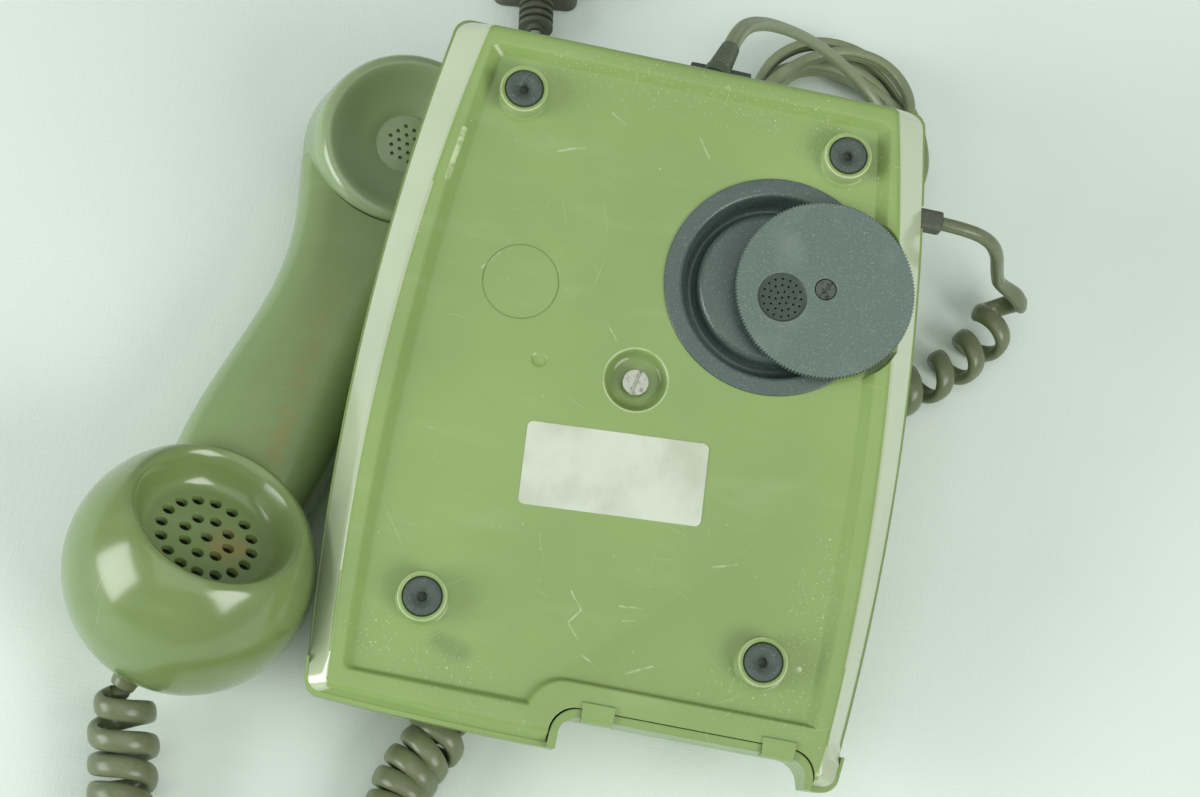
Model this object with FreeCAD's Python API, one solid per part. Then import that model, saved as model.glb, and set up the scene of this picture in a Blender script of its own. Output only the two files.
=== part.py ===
import FreeCAD, Part
import math
import os

# Push-button telephone, left lying on its face, with its handset beside it.
# Lengths are in millimetres.
# Two frames are used. The table frame has +Z up from the table. The base frame is the
# telephone's own: u to the right, v to its rear and w out of its underside, with w = 0
# on the four feet. The underside tilts up to the rear, because the wedge-shaped case
# rests on its keypad frame and on its cradle.

V = FreeCAD.Vector

# How far a cutting shape runs past the face that it leaves, and one wider than everything
PAST = 1.0
FAR = 300.0

os.makedirs("parts", exist_ok=True)

# Where the telephone lies
TILT_DEG = 14.5
PHONE_X = 35.4
PHONE_Y = -5.2
PHONE_Z = 76.0

# Plan of the case at its widest line, in the base frame
REAR_HALF = 74.2
REAR_V = 100.6
MID_HALF = 82.7
MID_V = -8.0
FRONT_HALF = 77.7
FRONT_V = -109.8
FRONT_BOW = 2.0
CORNER_R = 5.0

# Underside of the base
SEAM_W = -17.0
BAND_W = -4.0
FLOOR_W = -6.5
FLOOR_THICK = 2.5
WALL = 2.5
FACET = 8.6
FACET_FRONT = 5.9
BAND = 6.2
BAND_FRONT = 5.0
STEP_RUN = 1.5
BAND_EDGE = 0.8
SEAM_GAP = 0.15
LIP_GAP = 0.3

# Front finger notch
NOTCH_LEFT_U = -7.0
NOTCH_RIGHT_U = 70.0
NOTCH_BASE_V = -99.4
NOTCH_CORNER_R = 8.0
STRIP_THICK = 2.6
CLIP_LEFT_U = 5.4
CLIP_RIGHT_U = 58.2
CLIP_WIDTH = 10.4
CLIP_THICK = 0.9
CLIP_HOOK = 5.0
CLIP_GAP = 0.2
STRIP_DOWN = 0.6

# Feet
FOOT_U = 49.5
FOOT_V = 77.0
FOOT_RING_R = 7.1
FOOT_R = 5.8
FOOT_RING_W = -0.8
FOOT_SEAT_W = -7.6
FOOT_DIMPLE_R = 1.6
FOOT_DIMPLE_FLOOR_R = 1.0
FOOT_DIMPLE_DEEP = 1.6
FIT_GAP = 0.05

# Small round dimple in the floor
DIMPLE_U = -29.7
DIMPLE_V = -2.1
DIMPLE_R = 2.7
DIMPLE_DEEP = 0.7

# Cover screw and its dished recess
SCREW_U = -0.6
SCREW_V = -3.0
SCREW_DISH_R = 9.2
SCREW_DISH_DEEP = 1.5
SCREW_DISH_FLOOR_R = 7.4
SCREW_HEAD_R = 3.8
SCREW_HEAD_H = 2.3
SCREW_SHANK_R = 2.0
SCREW_GAP = 0.3
SCREW_SLOT_DEG = 78.0
SCREW_LONG = 22.0
POST_R = 4.6
POST_GAP = 0.1
SLOT_WIDE = 0.9
SLOT_DEEP = 0.9

# Sounder housing and volume disc
SOUNDER_U = 34.8
SOUNDER_V = 33.6
FLANGE_R = 32.8
FLANGE_H = 0.8
FLANGE_SHY = 1.5
MOUTH_R = 27.6
CUP_WALL = 2.0
CUP_DEEP = 9.5
CUP_GAP = 0.2
SOUND_RINGS = ((0, 1), (4.0, 6), (8.0, 12))
SOUND_HOLE_R = 0.9
PLATFORM_R = 22.4
CAPSULE_U = 28.8
CAPSULE_R = 13.4
CAPSULE_H = 6.0
CAPSULE_BACK_H = 3.6
PLATFORM_W = -7.4
DISC_U = 49.5
DISC_V = 34.8
DISC_R = 26.9
DISC_TOP_W = -1.0
DISC_THICK = 2.2
DISC_CHAMFER = 0.25
DISC_GAP = 0.1
SCOOP_R = 28.2
PORT_R = 7.2
PORT_SHIFT_U = -12.8
PORT_SHIFT_V = -5.4
PORT_DEEP = 0.7
PORT_HOLE_R = 0.42
PORT_RINGS = ((0, 1), (1.9, 6), (3.8, 12), (5.7, 18))
PIVOT_HEAD_R = 3.0
PIVOT_HEAD_H = 1.0
PIVOT_R = 2.0
PIVOT_LONG = 13.0
PIVOT_POST_R = 4.5
PIVOT_GAP = 0.06
PIVOT_HEAD_GAP = 0.3
PIVOT_SLOT_WIDE = 0.72
PIVOT_SLOT_DEG = 55.0

# Label
LABEL_U = -1.9
LABEL_V = -30.8
LABEL_LONG = 53.6
LABEL_WIDE = 24.6
LABEL_THICK = 0.2
LABEL_TURN_DEG = 3.7
LABEL_CORNER_R = 1.8

# Grommets of the curly cord, in the right side, and of the line cord, in the rear
GLAND_V = 68.0
GLAND_W = -19.8
GLAND_OUT_U = 84.2
GLAND_LONG = 17.0
GLAND_HALF = 3.4
GLAND_H = 6.4
GLAND_SLOT_GAP = 0.1
LINE_GLAND_U = 8.9
LINE_GLAND_W = -13.8
LINE_GLAND_LONG = 11.0
LINE_GLAND_HALF = 3.7
LINE_GLAND_H = 5.0
LINE_GLAND_OUT = 1.5
LINE_GLAND_MORE = 0.4
RELIEF_ROOT_R = 4.4
RELIEF_TIP_MORE = 0.6
RELIEF_LONG = 22.0
RELIEF_NECK_R = 3.0
RELIEF_NECK_PAST = 1.5

# Main board under the base's floor, with what is soldered to it
PCB_LEFT_U = -60.0
PCB_RIGHT_U = -8.0
PCB_FRONT_V = -52.0
PCB_REAR_V = 70.0
PCB_TOP_W = -15.0
PCB_INSET = 5.0
PCB_PILLAR_R = 3.0
PCB_SCREW_R = 1.4
PCB_HEAD_R = 2.6
PCB_HEAD_H = 1.8
PCB_SCREW_DEEP = 4.5
PCB_DRILL_SPARE = 0.2
TRANSFORMER_U = -41.0
TRANSFORMER_V = 41.0
TRANSFORMER_CORE = 20.0
TRANSFORMER_COIL = 26.0
TRANSFORMER_COIL_WIDE = 12.0
TRANSFORMER_H = 17.0
TRANSFORMER_YOKE = 2.0
CHIP_U = -34.0
CHIP_V = -22.0
CHIP_WIDE = 8.0
CHIP_LONG = 24.0
CHIP_H = 4.2
CAPACITORS = (
    (-20.0, 55.0, 5.0, 16.0),
    (-18.0, 39.0, 4.0, 12.0),
    (-50.0, 12.0, 4.0, 12.0),
)
TERMINAL_U = -22.0
TERMINAL_V = 17.0
TERMINAL_WIDE = 16.0
TERMINAL_LONG = 20.0
TERMINAL_H = 9.0
TERMINAL_PITCH = 5.0
TERMINAL_R = 1.2
TERMINAL_FLOOR = 2.5
TERMINAL_STOP = 3.0
TERMINAL_HEAD_R = 1.9
TERMINAL_HEAD_H = 1.2

# Cover below the widest line
SKIRT_W = -56.0
SKIRT_HALF = 40.0
SKIRT_MID_HALF = 44.0
SKIRT_FRONT_HALF = 52.0
SKIRT_REAR_V = 87.0
SKIRT_FRONT_V = -81.0
LIP_THICK = 1.6
LIP_TOP_W = -8.0
LIP_WRAP = 11.0
DECK_Z = 21.6

# Keypad block on the deck, in the table frame
BLOCK_HALF = 32.4
BLOCK_FRONT_Y = -82.1
BLOCK_REAR_Y = -14.1
BLOCK_CORNER_R = 5.0
BLOCK_FACE_Z = 1.6
BLOCK_TOP_Z = DECK_Z + 6.0
FRAME_MARGIN = 2.0
FRAME_HALF = BLOCK_HALF - FRAME_MARGIN
FRAME_THICK = 3.0
FRAME_CORNER_R = 3.0
FRAME_FIT = 0.1
KEY_PITCH_X = 18.5
KEY_PITCH_Y = 14.6
KEY_LONG_X = 13.0
KEY_LONG_Y = 10.6
KEY_GAP = 0.25
KEY_CORNER_R = 1.2
KEY_FACE_Z = 0.8
KEY_COLLAR_GAP = 0.2
KEY_COLLAR = 0.5
KEY_COLLAR_H = 1.0
KEY_STEM_R = 2.4
KEY_STEM_TOP_Z = 7.0
KEY_TRAVEL = 2.5
MAT_GAP = 0.5
KEY_DISH_R = 26.0
KEY_DISH_DEEP = 0.5
MAT_THICK = 1.2
MAT_Z = KEY_STEM_TOP_Z + KEY_TRAVEL + MAT_GAP
BOARD_THICK = 1.6
MAT_INSET = 6.4
MAT_FRONT_INSET = 5.0
MAT_HOLE_GAP = 0.1
PAD_BOARD_INSET = 5.4
PAD_BOARD_FRONT_INSET = 4.5
PAD_PILLAR_R = 2.0
PAD_SCREW_R = 0.9
PAD_HEAD_R = 2.0
PAD_HEAD_H = 1.4

# Cradle block on the deck, in the table frame
CRADLE_HALF = 40.0
CRADLE_FRONT_Y = 26.9
CRADLE_REAR_Y = 93.9
CRADLE_TOP_Z = 48.0
CHANNEL_FRONT_Y = 36.9
CHANNEL_REAR_Y = 82.4
CHANNEL_Z = 13.0
HORN_GAP_HALF = 20.0
HORN_GAP_Z = 7.0

# Hook switch
PLUNGER_X = 24.0
PLUNGER_LONG = 9.0
PLUNGER_WIDE = 5.0
PLUNGER_TIP_Z = 6.5
PLUNGER_GAP = 0.3
PLUNGER_BAR_Z = 23.0
PLUNGER_BAR_H = 4.0
PLUNGER_BAR_MORE = 1.0
PLUNGER_CORNER_R = 1.5
HOOK_TRAVEL = 6.0
SPRING_SPARE = 5.0
SPRING_R = 3.2
SPRING_WALL = 0.6
SWITCH_H = 10.0
SWITCH_LONG = 28.0
SWITCH_WIDE = 14.0
SWITCH_LEG_X = 12.0
SWITCH_LEG_Y = 5.4
SWITCH_LEG_R = 1.5
SWITCH_Z = PLUNGER_BAR_Z + PLUNGER_BAR_H + HOOK_TRAVEL + SPRING_SPARE

# Handset, in a frame of its own: s from mouthpiece to earpiece, t to its left, z up
BALL_X = -81.5
BALL_Y = -77.9
BALL_R = 36.4
BALL_Z = 37.1
HANDSET_TURN_DEG = 12.9
HANDSET_SPAN = 159.5
CAP_SPLIT_Z = 27.0
SCOOP_NORMAL_DEG = 27.0
SCOOP_TURN_DEG = 22.0
SCOOP_RIM_R = 25.0
SCOOP_PLATE_R = 17.4
SCOOP_PLATE_HIGH = 15.0
MOUTH_HOLE_R = 1.75
MOUTH_RINGS = ((0, 1), (6.9, 8), (13.6, 16))
MOUTH_CAN_R = 15.8
MOUTH_CAN_H = 9.0
CAN_GAP = 0.2

# Earpiece, which looks a little to the right and to the mouthpiece
EAR_T = 1.2
EAR_TOP_Z = 41.7
EAR_PITCH_DEG = 10.0
EAR_ROLL_DEG = 10.0
EAR_CREST_R = 26.4
EAR_RIM_R = 28.8
EAR_SEAT_R = 29.4
EAR_R = 32.2
EAR_WIDEST = 22.0
EAR_FOOT_R = 14.0
EAR_FLANK_OUT = 0.66
EAR_FLANK_UP = 0.25
EAR_DEEP = 38.7
EAR_LIP_H = 2.4
EAR_CAP_H = 5.0
EAR_DISH_DEEP = 7.3
EAR_SKIRT_H = 4.2
EAR_SKIRT_GAP = 0.9
EAR_PORT_R = 9.4
EAR_HOLE_R = 0.65
EAR_HOLE_PITCH = 3.1
EAR_HOLE_EDGE = 2.0
EAR_CAN_R = 24.0
EAR_CAN_H = 8.0

# Grip: share of the span, half width, shift to the left, underside and top of each section
GRIP_SECTIONS = (
    (0.06, 20.5, 1.2, 4.0, 41.0),
    (0.27, 22.3, 1.6, 1.0, 39.0),
    (0.50, 21.2, 0.7, 1.0, 38.0),
    (0.71, 21.6, 0.9, 1.0, 37.0),
    (0.83, 25.3, 2.5, 1.5, 35.0),
    (0.92, 29.0, 4.2, 2.0, 33.5),
)
GRIP_ROUND = 0.72
SHELL = 2.6
CAP_LIP = 0.1

# Cords
CURLY_WIRE_D = 5.2
CURLY_OUTER_D = 17.4
LINE_D = 5.2
HANK_X = 92.0
HANK_Y = 134.9
HANK_IN_R = 22.5
HANK_OUT_R = 38.5
HANK_H = 16.0
HANK_SHOULDER = 5.0
CORD_GAP = 0.3

# Plug of the line cord
PLUG_HEADING_DEG = 97.6
PLUG_RELIEF_LONG = 16.0
PLUG_ROOT_R = 5.4
PLUG_RIDGES = 5
PLUG_RIDGE_R = 6.0
PLUG_RIDGE_THICK = 1.6
PLUG_RIDGE_PITCH = 2.9
PLUG_LONG = 36.0
PLUG_HALF = 15.0
PLUG_HALF_H = 7.9
PLUG_CORNER_R = 4.0
PIN_LONG = 10.0
PIN_PITCH = 6.0
PIN_THICK = 1.0
PIN_HIGH = 5.0

# Routes of the cords in the table frame
CURLY_LEAD = [
    (119.6, 65.6, 73.9),
    (128.5, 65.5, 73.6),
    (136.5, 66.3, 69.0),
    (141.3, 67.1, 61.0),
    (144.6, 68.1, 50.0),
    (148.6, 69.4, 39.5),
]
CURLY_COIL = [
    (148.6, 69.4, 39.5),
    (153.6, 71.1, 27.5),
    (153.8, 66.9, 17.0),
    (149.0, 59.9, 10.5),
    (139.0, 48.9, 8.9),
    (121.0, 34.9, 8.9),
    (96.0, 20.9, 8.9),
    (64.0, 10.4, 8.9),
    (31.0, 11.4, 8.9),
    (2.0, 5.4, 8.9),
    (-19.0, -17.1, 8.9),
    (-25.0, -47.1, 8.9),
    (-24.0, -66.1, 8.9),
    (-16.0, -83.6, 8.9),
    (2.0, -101.1, 8.9),
    (-9.0, -117.6, 8.9),
    (-10.5, -133.1, 8.9),
    (-11.0, -155.1, 8.9),
    (-21.0, -178.1, 8.9),
    (-38.0, -191.1, 8.9),
    (-59.0, -192.1, 8.9),
    (-76.0, -179.1, 8.9),
    (-84.5, -159.1, 8.9),
    (-87.3, -140.1, 8.9),
    (-90.0, -127.6, 10.5),
    (-92.5, -119.1, 15.0),
]
LINE_ROUTE = [
    (45.5, 104.4, 86.0),
    (47.5, 113.9, 83.5),
    (53.0, 123.9, 76.0),
    (62.0, 133.9, 63.5),
    (75.0, 142.4, 48.5),
    (88.0, 146.9, 34.0),
    (100.0, 145.9, 23.0),
    (110.0, 139.9, 15.5),
    (117.0, 130.9, 11.0),
]
TAIL_ROUTE = [
    (74.0, 102.4, 2.8),
    (50.0, 101.4, 2.8),
    (26.0, 102.9, 2.8),
    (6.0, 107.9, 2.8),
    (-8.0, 120.9, 2.8),
    (-13.0, 135.9, 4.5),
    (-15.0, 150.9, 8.0),
]


def tilt(shape):
    """Put a base-frame shape where the telephone lies on the table."""
    placed = shape.copy()
    placed.rotate(V(0, 0, 0), V(1, 0, 0), TILT_DEG)
    placed.translate(V(PHONE_X, PHONE_Y, PHONE_Z))
    return placed


def tilt_point(u, v, w):
    angle = math.radians(TILT_DEG)
    y = v * math.cos(angle) - w * math.sin(angle)
    z = v * math.sin(angle) + w * math.cos(angle)
    return V(u + PHONE_X, y + PHONE_Y, z + PHONE_Z)


def handset_place(shape):
    """Put a handset-frame shape, s along Y and t along -X, beside the telephone."""
    placed = shape.copy()
    placed.rotate(V(0, 0, 0), V(0, 0, 1), -HANDSET_TURN_DEG)
    placed.translate(V(BALL_X, BALL_Y, 0))
    return placed


def plan_wire(side, rear, front, corner, level):
    """The case's plan, moved in by side, rear and front, with rounded corners."""
    rear_half = REAR_HALF - side - corner
    mid_half = MID_HALF - side - corner
    front_half = FRONT_HALF - side - corner
    rear_v = REAR_V - rear - corner
    front_v = FRONT_V + front + corner
    rear_left = V(-rear_half, rear_v, level)
    rear_right = V(rear_half, rear_v, level)
    front_left = V(-front_half, front_v, level)
    front_right = V(front_half, front_v, level)
    right = Part.Arc(front_right, V(mid_half, MID_V, level), rear_right).toShape()
    back = Part.makeLine(rear_right, rear_left)
    left = Part.Arc(rear_left, V(-mid_half, MID_V, level), front_left).toShape()
    bow = Part.Arc(front_left, V(0, front_v - FRONT_BOW, level), front_right).toShape()
    sharp = Part.Wire([right, back, left, bow])
    return sharp.makeOffset2D(corner)


def skirt_wire(inset, level, drop):
    """The case's plan further down, where its sides have drawn in."""
    share = (SEAM_W - level) / (SEAM_W - SKIRT_W)
    side = inset
    rear_half = REAR_HALF + (SKIRT_HALF - REAR_HALF) * share - side
    mid_half = MID_HALF + (SKIRT_MID_HALF - MID_HALF) * share - side
    front_half = FRONT_HALF + (SKIRT_FRONT_HALF - FRONT_HALF) * share - side
    rear_v = REAR_V + (SKIRT_REAR_V - REAR_V) * share - side
    front_v = FRONT_V + (SKIRT_FRONT_V - FRONT_V) * share + side
    corner = CORNER_R
    z = level + drop
    rear_left = V(corner - rear_half, rear_v - corner, z)
    rear_right = V(rear_half - corner, rear_v - corner, z)
    front_left = V(corner - front_half, front_v + corner, z)
    front_right = V(front_half - corner, front_v + corner, z)
    bow_v = front_v + corner - FRONT_BOW
    right = Part.Arc(front_right, V(mid_half - corner, MID_V, z), rear_right).toShape()
    back = Part.makeLine(rear_right, rear_left)
    left = Part.Arc(rear_left, V(corner - mid_half, MID_V, z), front_left).toShape()
    bow = Part.Arc(front_left, V(0, bow_v, z), front_right).toShape()
    return Part.Wire([right, back, left, bow]).makeOffset2D(corner)


def disc(u, v, radius, low, high):
    return Part.makeCylinder(radius, high - low, V(u, v, low))


def block(x0, x1, y0, y1, z0, z1):
    return Part.makeBox(x1 - x0, y1 - y0, z1 - z0, V(x0, y0, z0))


def rounded_block(x0, x1, y0, y1, z0, z1, radius):
    """A box whose four upright edges are rounded."""
    solid = block(x0, x1, y0, y1, z0, z1)
    upright = [edge for edge in solid.Edges if abs(edge.tangentAt(0).z) > 0.9]
    return solid.makeFillet(radius, upright)


def notch(grow, low, high):
    """The finger notch's prism, grown all round, with its two inner corners rounded."""
    left = NOTCH_LEFT_U - grow
    right = NOTCH_RIGHT_U + grow
    inner_v = NOTCH_BASE_V + grow
    solid = block(left, right, -FAR, inner_v, low, high)
    inner = []
    for edge in solid.Edges:
        upright = abs(edge.tangentAt(0).z) > 0.9
        if upright and abs(edge.CenterOfMass.y - inner_v) < 0.01:
            inner.append(edge)
    return solid.makeFillet(NOTCH_CORNER_R + grow, inner)


def hull_plate(u0, v0, r0, u1, v1, r1, low, high):
    """A plate round two circles, joined by their outer tangents."""
    reach = math.hypot(u1 - u0, v1 - v0)
    heading = math.atan2(v1 - v0, u1 - u0)
    lean = math.acos((r0 - r1) / reach)
    corners = []
    for side in (1, -1):
        angle = heading + side * lean
        near = V(u0 + r0 * math.cos(angle), v0 + r0 * math.sin(angle), low)
        far = V(u1 + r1 * math.cos(angle), v1 + r1 * math.sin(angle), low)
        corners.append((near, far))
    outline = [corners[0][0], corners[0][1], corners[1][1], corners[1][0], corners[0][0]]
    web = Part.Face(Part.makePolygon(outline)).extrude(V(0, 0, high - low))
    return web.fuse([disc(u0, v0, r0, low, high), disc(u1, v1, r1, low, high)]).removeSplitter()


def teardrop(grow, low, high):
    """The sounder flange's outline, drawn out round the volume disc."""
    far_r = DISC_R - FLANGE_SHY + grow
    return hull_plate(SOUNDER_U, SOUNDER_V, FLANGE_R + grow, DISC_U, DISC_V, far_r, low, high)


def base_moulding():
    """The green tray of the underside."""
    low = SEAM_W + SEAM_GAP
    edge = BAND_EDGE
    outer = Part.makeLoft([
        plan_wire(WALL * 0.5, WALL * 0.5, LIP_THICK + LIP_GAP, CORNER_R, low),
        plan_wire(FACET - edge, FACET - edge, FACET_FRONT - edge, CORNER_R, BAND_W - edge),
        plan_wire(FACET, FACET, FACET_FRONT, CORNER_R, BAND_W),
    ], True, True)
    inner_low = WALL * 1.5
    inner = Part.makeLoft([
        plan_wire(inner_low, inner_low, inner_low + LIP_THICK, CORNER_R, low - PAST / 2),
        plan_wire(FACET + WALL, FACET + WALL, FACET_FRONT + WALL, CORNER_R, FLOOR_W - FLOOR_THICK),
    ], True, True)
    side = FACET + BAND
    front = FACET_FRONT + BAND_FRONT
    pocket = Part.makeLoft([
        plan_wire(side + STEP_RUN, side + STEP_RUN, front + STEP_RUN, CORNER_R, FLOOR_W),
        plan_wire(side, side, front, CORNER_R, BAND_W),
        plan_wire(side, side, front, CORNER_R, BAND_W + PAST),
    ], True, True)
    pocket = pocket.cut(notch(BAND + STEP_RUN, SEAM_W, BAND_W + 2 * PAST))
    solid = outer.cut(inner).cut(pocket)
    wall_back = notch(WALL, low, FLOOR_W - FLOOR_THICK + PAST / 2).common(outer)
    solid = solid.fuse(wall_back)
    solid = solid.cut(notch(0, SEAM_W - PAST, BAND_W + PAST))
    half = CLIP_WIDTH / 2
    for clip_u in (CLIP_LEFT_U, CLIP_RIGHT_U):
        left = clip_u - half
        right = clip_u + half
        low = BAND_W - STRIP_DOWN + CLIP_GAP
        front_v = NOTCH_BASE_V - STRIP_THICK - CLIP_GAP - CLIP_THICK
        clip = block(left, right, front_v, NOTCH_BASE_V + PAST, low, low + CLIP_THICK)
        hook = block(left, right, front_v, front_v + CLIP_THICK, low - CLIP_HOOK, low)
        solid = solid.fuse([clip, hook])
    for u in (-FOOT_U, FOOT_U):
        for v in (-FOOT_V, FOOT_V):
            solid = solid.fuse(disc(u, v, FOOT_RING_R, FLOOR_W - FLOOR_THICK, FOOT_RING_W))
            solid = solid.fuse(disc(u, v, FOOT_RING_R, FOOT_SEAT_W - WALL, FLOOR_W))
            solid = solid.cut(disc(u, v, FOOT_R + FIT_GAP, FOOT_SEAT_W, FOOT_RING_W + PAST))
    for u, v in pcb_corners():
        solid = solid.fuse(disc(u, v, PCB_PILLAR_R, PCB_TOP_W, FLOOR_W - FLOOR_THICK))
        drill_end = PCB_TOP_W + PCB_SCREW_DEEP + PCB_DRILL_SPARE
        solid = solid.cut(disc(u, v, PCB_SCREW_R, PCB_TOP_W - PAST, drill_end))
    solid = solid.cut(disc(DIMPLE_U, DIMPLE_V, DIMPLE_R, FLOOR_W - DIMPLE_DEEP, FLOOR_W + PAST))
    dish_low = FLOOR_W - SCREW_DISH_DEEP
    solid = solid.fuse(disc(SCREW_U, SCREW_V, SCREW_DISH_R + WALL, dish_low - WALL, FLOOR_W))
    dish_foot = V(SCREW_U, SCREW_V, dish_low)
    dish = Part.makeCone(SCREW_DISH_FLOOR_R, SCREW_DISH_R, SCREW_DISH_DEEP, dish_foot)
    solid = solid.cut(dish)
    screw_hole_r = SCREW_SHANK_R + SCREW_GAP
    solid = solid.cut(disc(SCREW_U, SCREW_V, screw_hole_r, dish_low - WALL - PAST, dish_low + PAST))
    cup_hole_r = MOUTH_R + CUP_WALL + CUP_GAP
    solid = solid.cut(disc(SOUNDER_U, SOUNDER_V, cup_hole_r, SEAM_W, 0))
    flange_space = teardrop(FIT_GAP, FLOOR_W, 0)
    solid = solid.cut(flange_space)
    solid = solid.cut(disc(DISC_U, DISC_V, SCOOP_R, FLOOR_W, 0))
    solid = solid.cut(gland_slot(GLAND_SLOT_GAP))
    solid = solid.cut(line_slot(GLAND_SLOT_GAP))
    return tilt(solid)


def gland_slot(gap):
    half = GLAND_HALF + gap
    low = GLAND_W - GLAND_H / 2 - gap
    high = GLAND_W + GLAND_H / 2 + gap
    inner = GLAND_OUT_U - GLAND_LONG - gap
    return block(inner, GLAND_OUT_U + gap, GLAND_V - half, GLAND_V + half, low, high)


def line_slot(gap):
    half = LINE_GLAND_HALF + gap
    low = LINE_GLAND_W - LINE_GLAND_H / 2 - gap
    high = LINE_GLAND_W + LINE_GLAND_H / 2 + gap
    inner = REAR_V - LINE_GLAND_LONG - gap
    return block(LINE_GLAND_U - half, LINE_GLAND_U + half, inner, REAR_V + gap, low, high)


def cover_outer(grow):
    """The cover's body without the keypad block and the cradle, shrunk by grow."""
    skirt = Part.makeLoft([
        skirt_wire(grow, SEAM_W, 0),
        skirt_wire(grow, SKIRT_W, grow),
    ], True, True)
    resting = tilt(skirt)
    keep = block(-FAR, FAR, -FAR, FAR, DECK_Z + grow, FAR)
    return resting.common(keep)


def keypad_block(inset, low, high):
    """The block that holds the keypad, drawn in by inset."""
    left = PHONE_X - BLOCK_HALF + inset
    right = PHONE_X + BLOCK_HALF - inset
    front = BLOCK_FRONT_Y + inset
    rear = BLOCK_REAR_Y - inset
    return rounded_block(left, right, front, rear, low, high, BLOCK_CORNER_R - inset)


def cradle_block():
    """Two ridges with the handset's channel between them, and a gap in their middle."""
    left = PHONE_X - CRADLE_HALF
    right = PHONE_X + CRADLE_HALF
    front = CRADLE_FRONT_Y
    rear = CRADLE_REAR_Y
    solid = rounded_block(left, right, front, rear, 0, CRADLE_TOP_Z, BLOCK_CORNER_R)
    channel = block(left - PAST, right + PAST, CHANNEL_FRONT_Y, CHANNEL_REAR_Y, -PAST, CHANNEL_Z)
    gap_left = PHONE_X - HORN_GAP_HALF
    gap_right = PHONE_X + HORN_GAP_HALF
    gap = block(gap_left, gap_right, front - PAST, rear + PAST, -PAST, HORN_GAP_Z)
    return solid.cut(channel).cut(gap)


def cradle_room():
    left = PHONE_X - CRADLE_HALF + WALL
    right = PHONE_X + CRADLE_HALF - WALL
    front = CHANNEL_FRONT_Y - WALL
    rear = CHANNEL_REAR_Y + WALL
    return block(left, right, front, rear, CHANNEL_Z + WALL, CRADLE_TOP_Z)


def keypad_window():
    inset = 2 * FRAME_MARGIN
    left = PHONE_X - FRAME_HALF + FRAME_MARGIN
    right = PHONE_X + FRAME_HALF - FRAME_MARGIN
    return block(left, right, BLOCK_FRONT_Y + inset, BLOCK_REAR_Y - inset, 0, BLOCK_FACE_Z + WALL + PAST)


def cover_case():
    """The green case: skirt, deck, keypad block and cradle in one moulding."""
    solid = cover_outer(0).fuse([keypad_block(0, BLOCK_FACE_Z, BLOCK_TOP_Z), cradle_block()])
    solid = solid.cut(cover_outer(WALL)).cut(keypad_block(WALL, BLOCK_FACE_Z + WALL, BLOCK_TOP_Z + PAST))
    solid = solid.cut(cradle_room()).cut(keypad_window())
    low = CHANNEL_Z - PAST
    high = CHANNEL_Z + WALL + PAST
    half_x = PLUNGER_LONG / 2 + PLUNGER_GAP
    half_y = PLUNGER_WIDE / 2 + PLUNGER_GAP
    mid_y = (CHANNEL_FRONT_Y + CHANNEL_REAR_Y) / 2
    for x in (PHONE_X - PLUNGER_X, PHONE_X + PLUNGER_X):
        solid = solid.cut(block(x - half_x, x + half_x, mid_y - half_y, mid_y + half_y, low, high))
    solid = solid.cut(tilt(notch(-STRIP_THICK, -FAR, 0)))
    solid = solid.fuse(notch_strip())
    solid = solid.fuse(front_lip())
    dish_low = FLOOR_W - SCREW_DISH_DEEP
    post = tilt(disc(SCREW_U, SCREW_V, POST_R, -FAR, dish_low - WALL - POST_GAP))
    post = post.common(block(-FAR, FAR, -FAR, FAR, DECK_Z + PAST / 2, FAR))
    pilot = tilt(disc(SCREW_U, SCREW_V, SCREW_SHANK_R, dish_low - SCREW_LONG, 0))
    solid = solid.fuse(post).cut(pilot)
    solid = solid.cut(tilt(gland_slot(GLAND_SLOT_GAP))).cut(tilt(line_slot(GLAND_SLOT_GAP)))
    return solid


def notch_strip():
    """The cover's wall round the finger notch, below and above its seam with the base."""
    low_ring = notch(-CLIP_GAP, -FAR, SEAM_W).cut(notch(-STRIP_THICK, -FAR, 0))
    below = tilt(low_ring).common(cover_outer(0))
    top = BAND_W - STRIP_DOWN
    high_ring = notch(-CLIP_GAP, SEAM_W, top).cut(notch(-STRIP_THICK, -FAR, 0))
    reach = Part.Face(plan_wire(0, 0, 0, CORNER_R, SEAM_W)).extrude(V(0, 0, top - SEAM_W))
    return below.fuse(tilt(high_ring.common(reach)))


def front_lip():
    """The cover's upstand in front of the base, wrapped a little round both corners."""
    side = LIP_THICK / 2
    outer = Part.Face(plan_wire(0, 0, 0, CORNER_R, SEAM_W)).extrude(V(0, 0, LIP_TOP_W - SEAM_W))
    inner_wire = plan_wire(side, side, LIP_THICK, CORNER_R, SEAM_W - 1)
    inner = Part.Face(inner_wire).extrude(V(0, 0, FAR))
    front = block(-FAR, FAR, -FAR, FRONT_V + LIP_WRAP, -FAR, 0)
    ring = outer.cut(inner).common(front)
    return tilt(ring.cut(notch(-STRIP_THICK, -FAR, 0)))


def slotted_screw(u, v, top, size, slot, turn):
    """A cheese-head screw whose head's top is at w = top."""
    head_r, head_h, shank_r, long = size
    head = disc(u, v, head_r, top - head_h, top)
    shank = disc(u, v, shank_r, top - long, top - head_h)
    solid = head.fuse(shank)
    groove_low = top - min(SLOT_DEEP, head_h * 0.5)
    groove = block(-head_r - PAST, head_r + PAST, -slot / 2, slot / 2, groove_low, top + PAST)
    groove.rotate(V(0, 0, 0), V(0, 0, 1), turn)
    groove.translate(V(u, v, 0))
    return solid.cut(groove)


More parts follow.
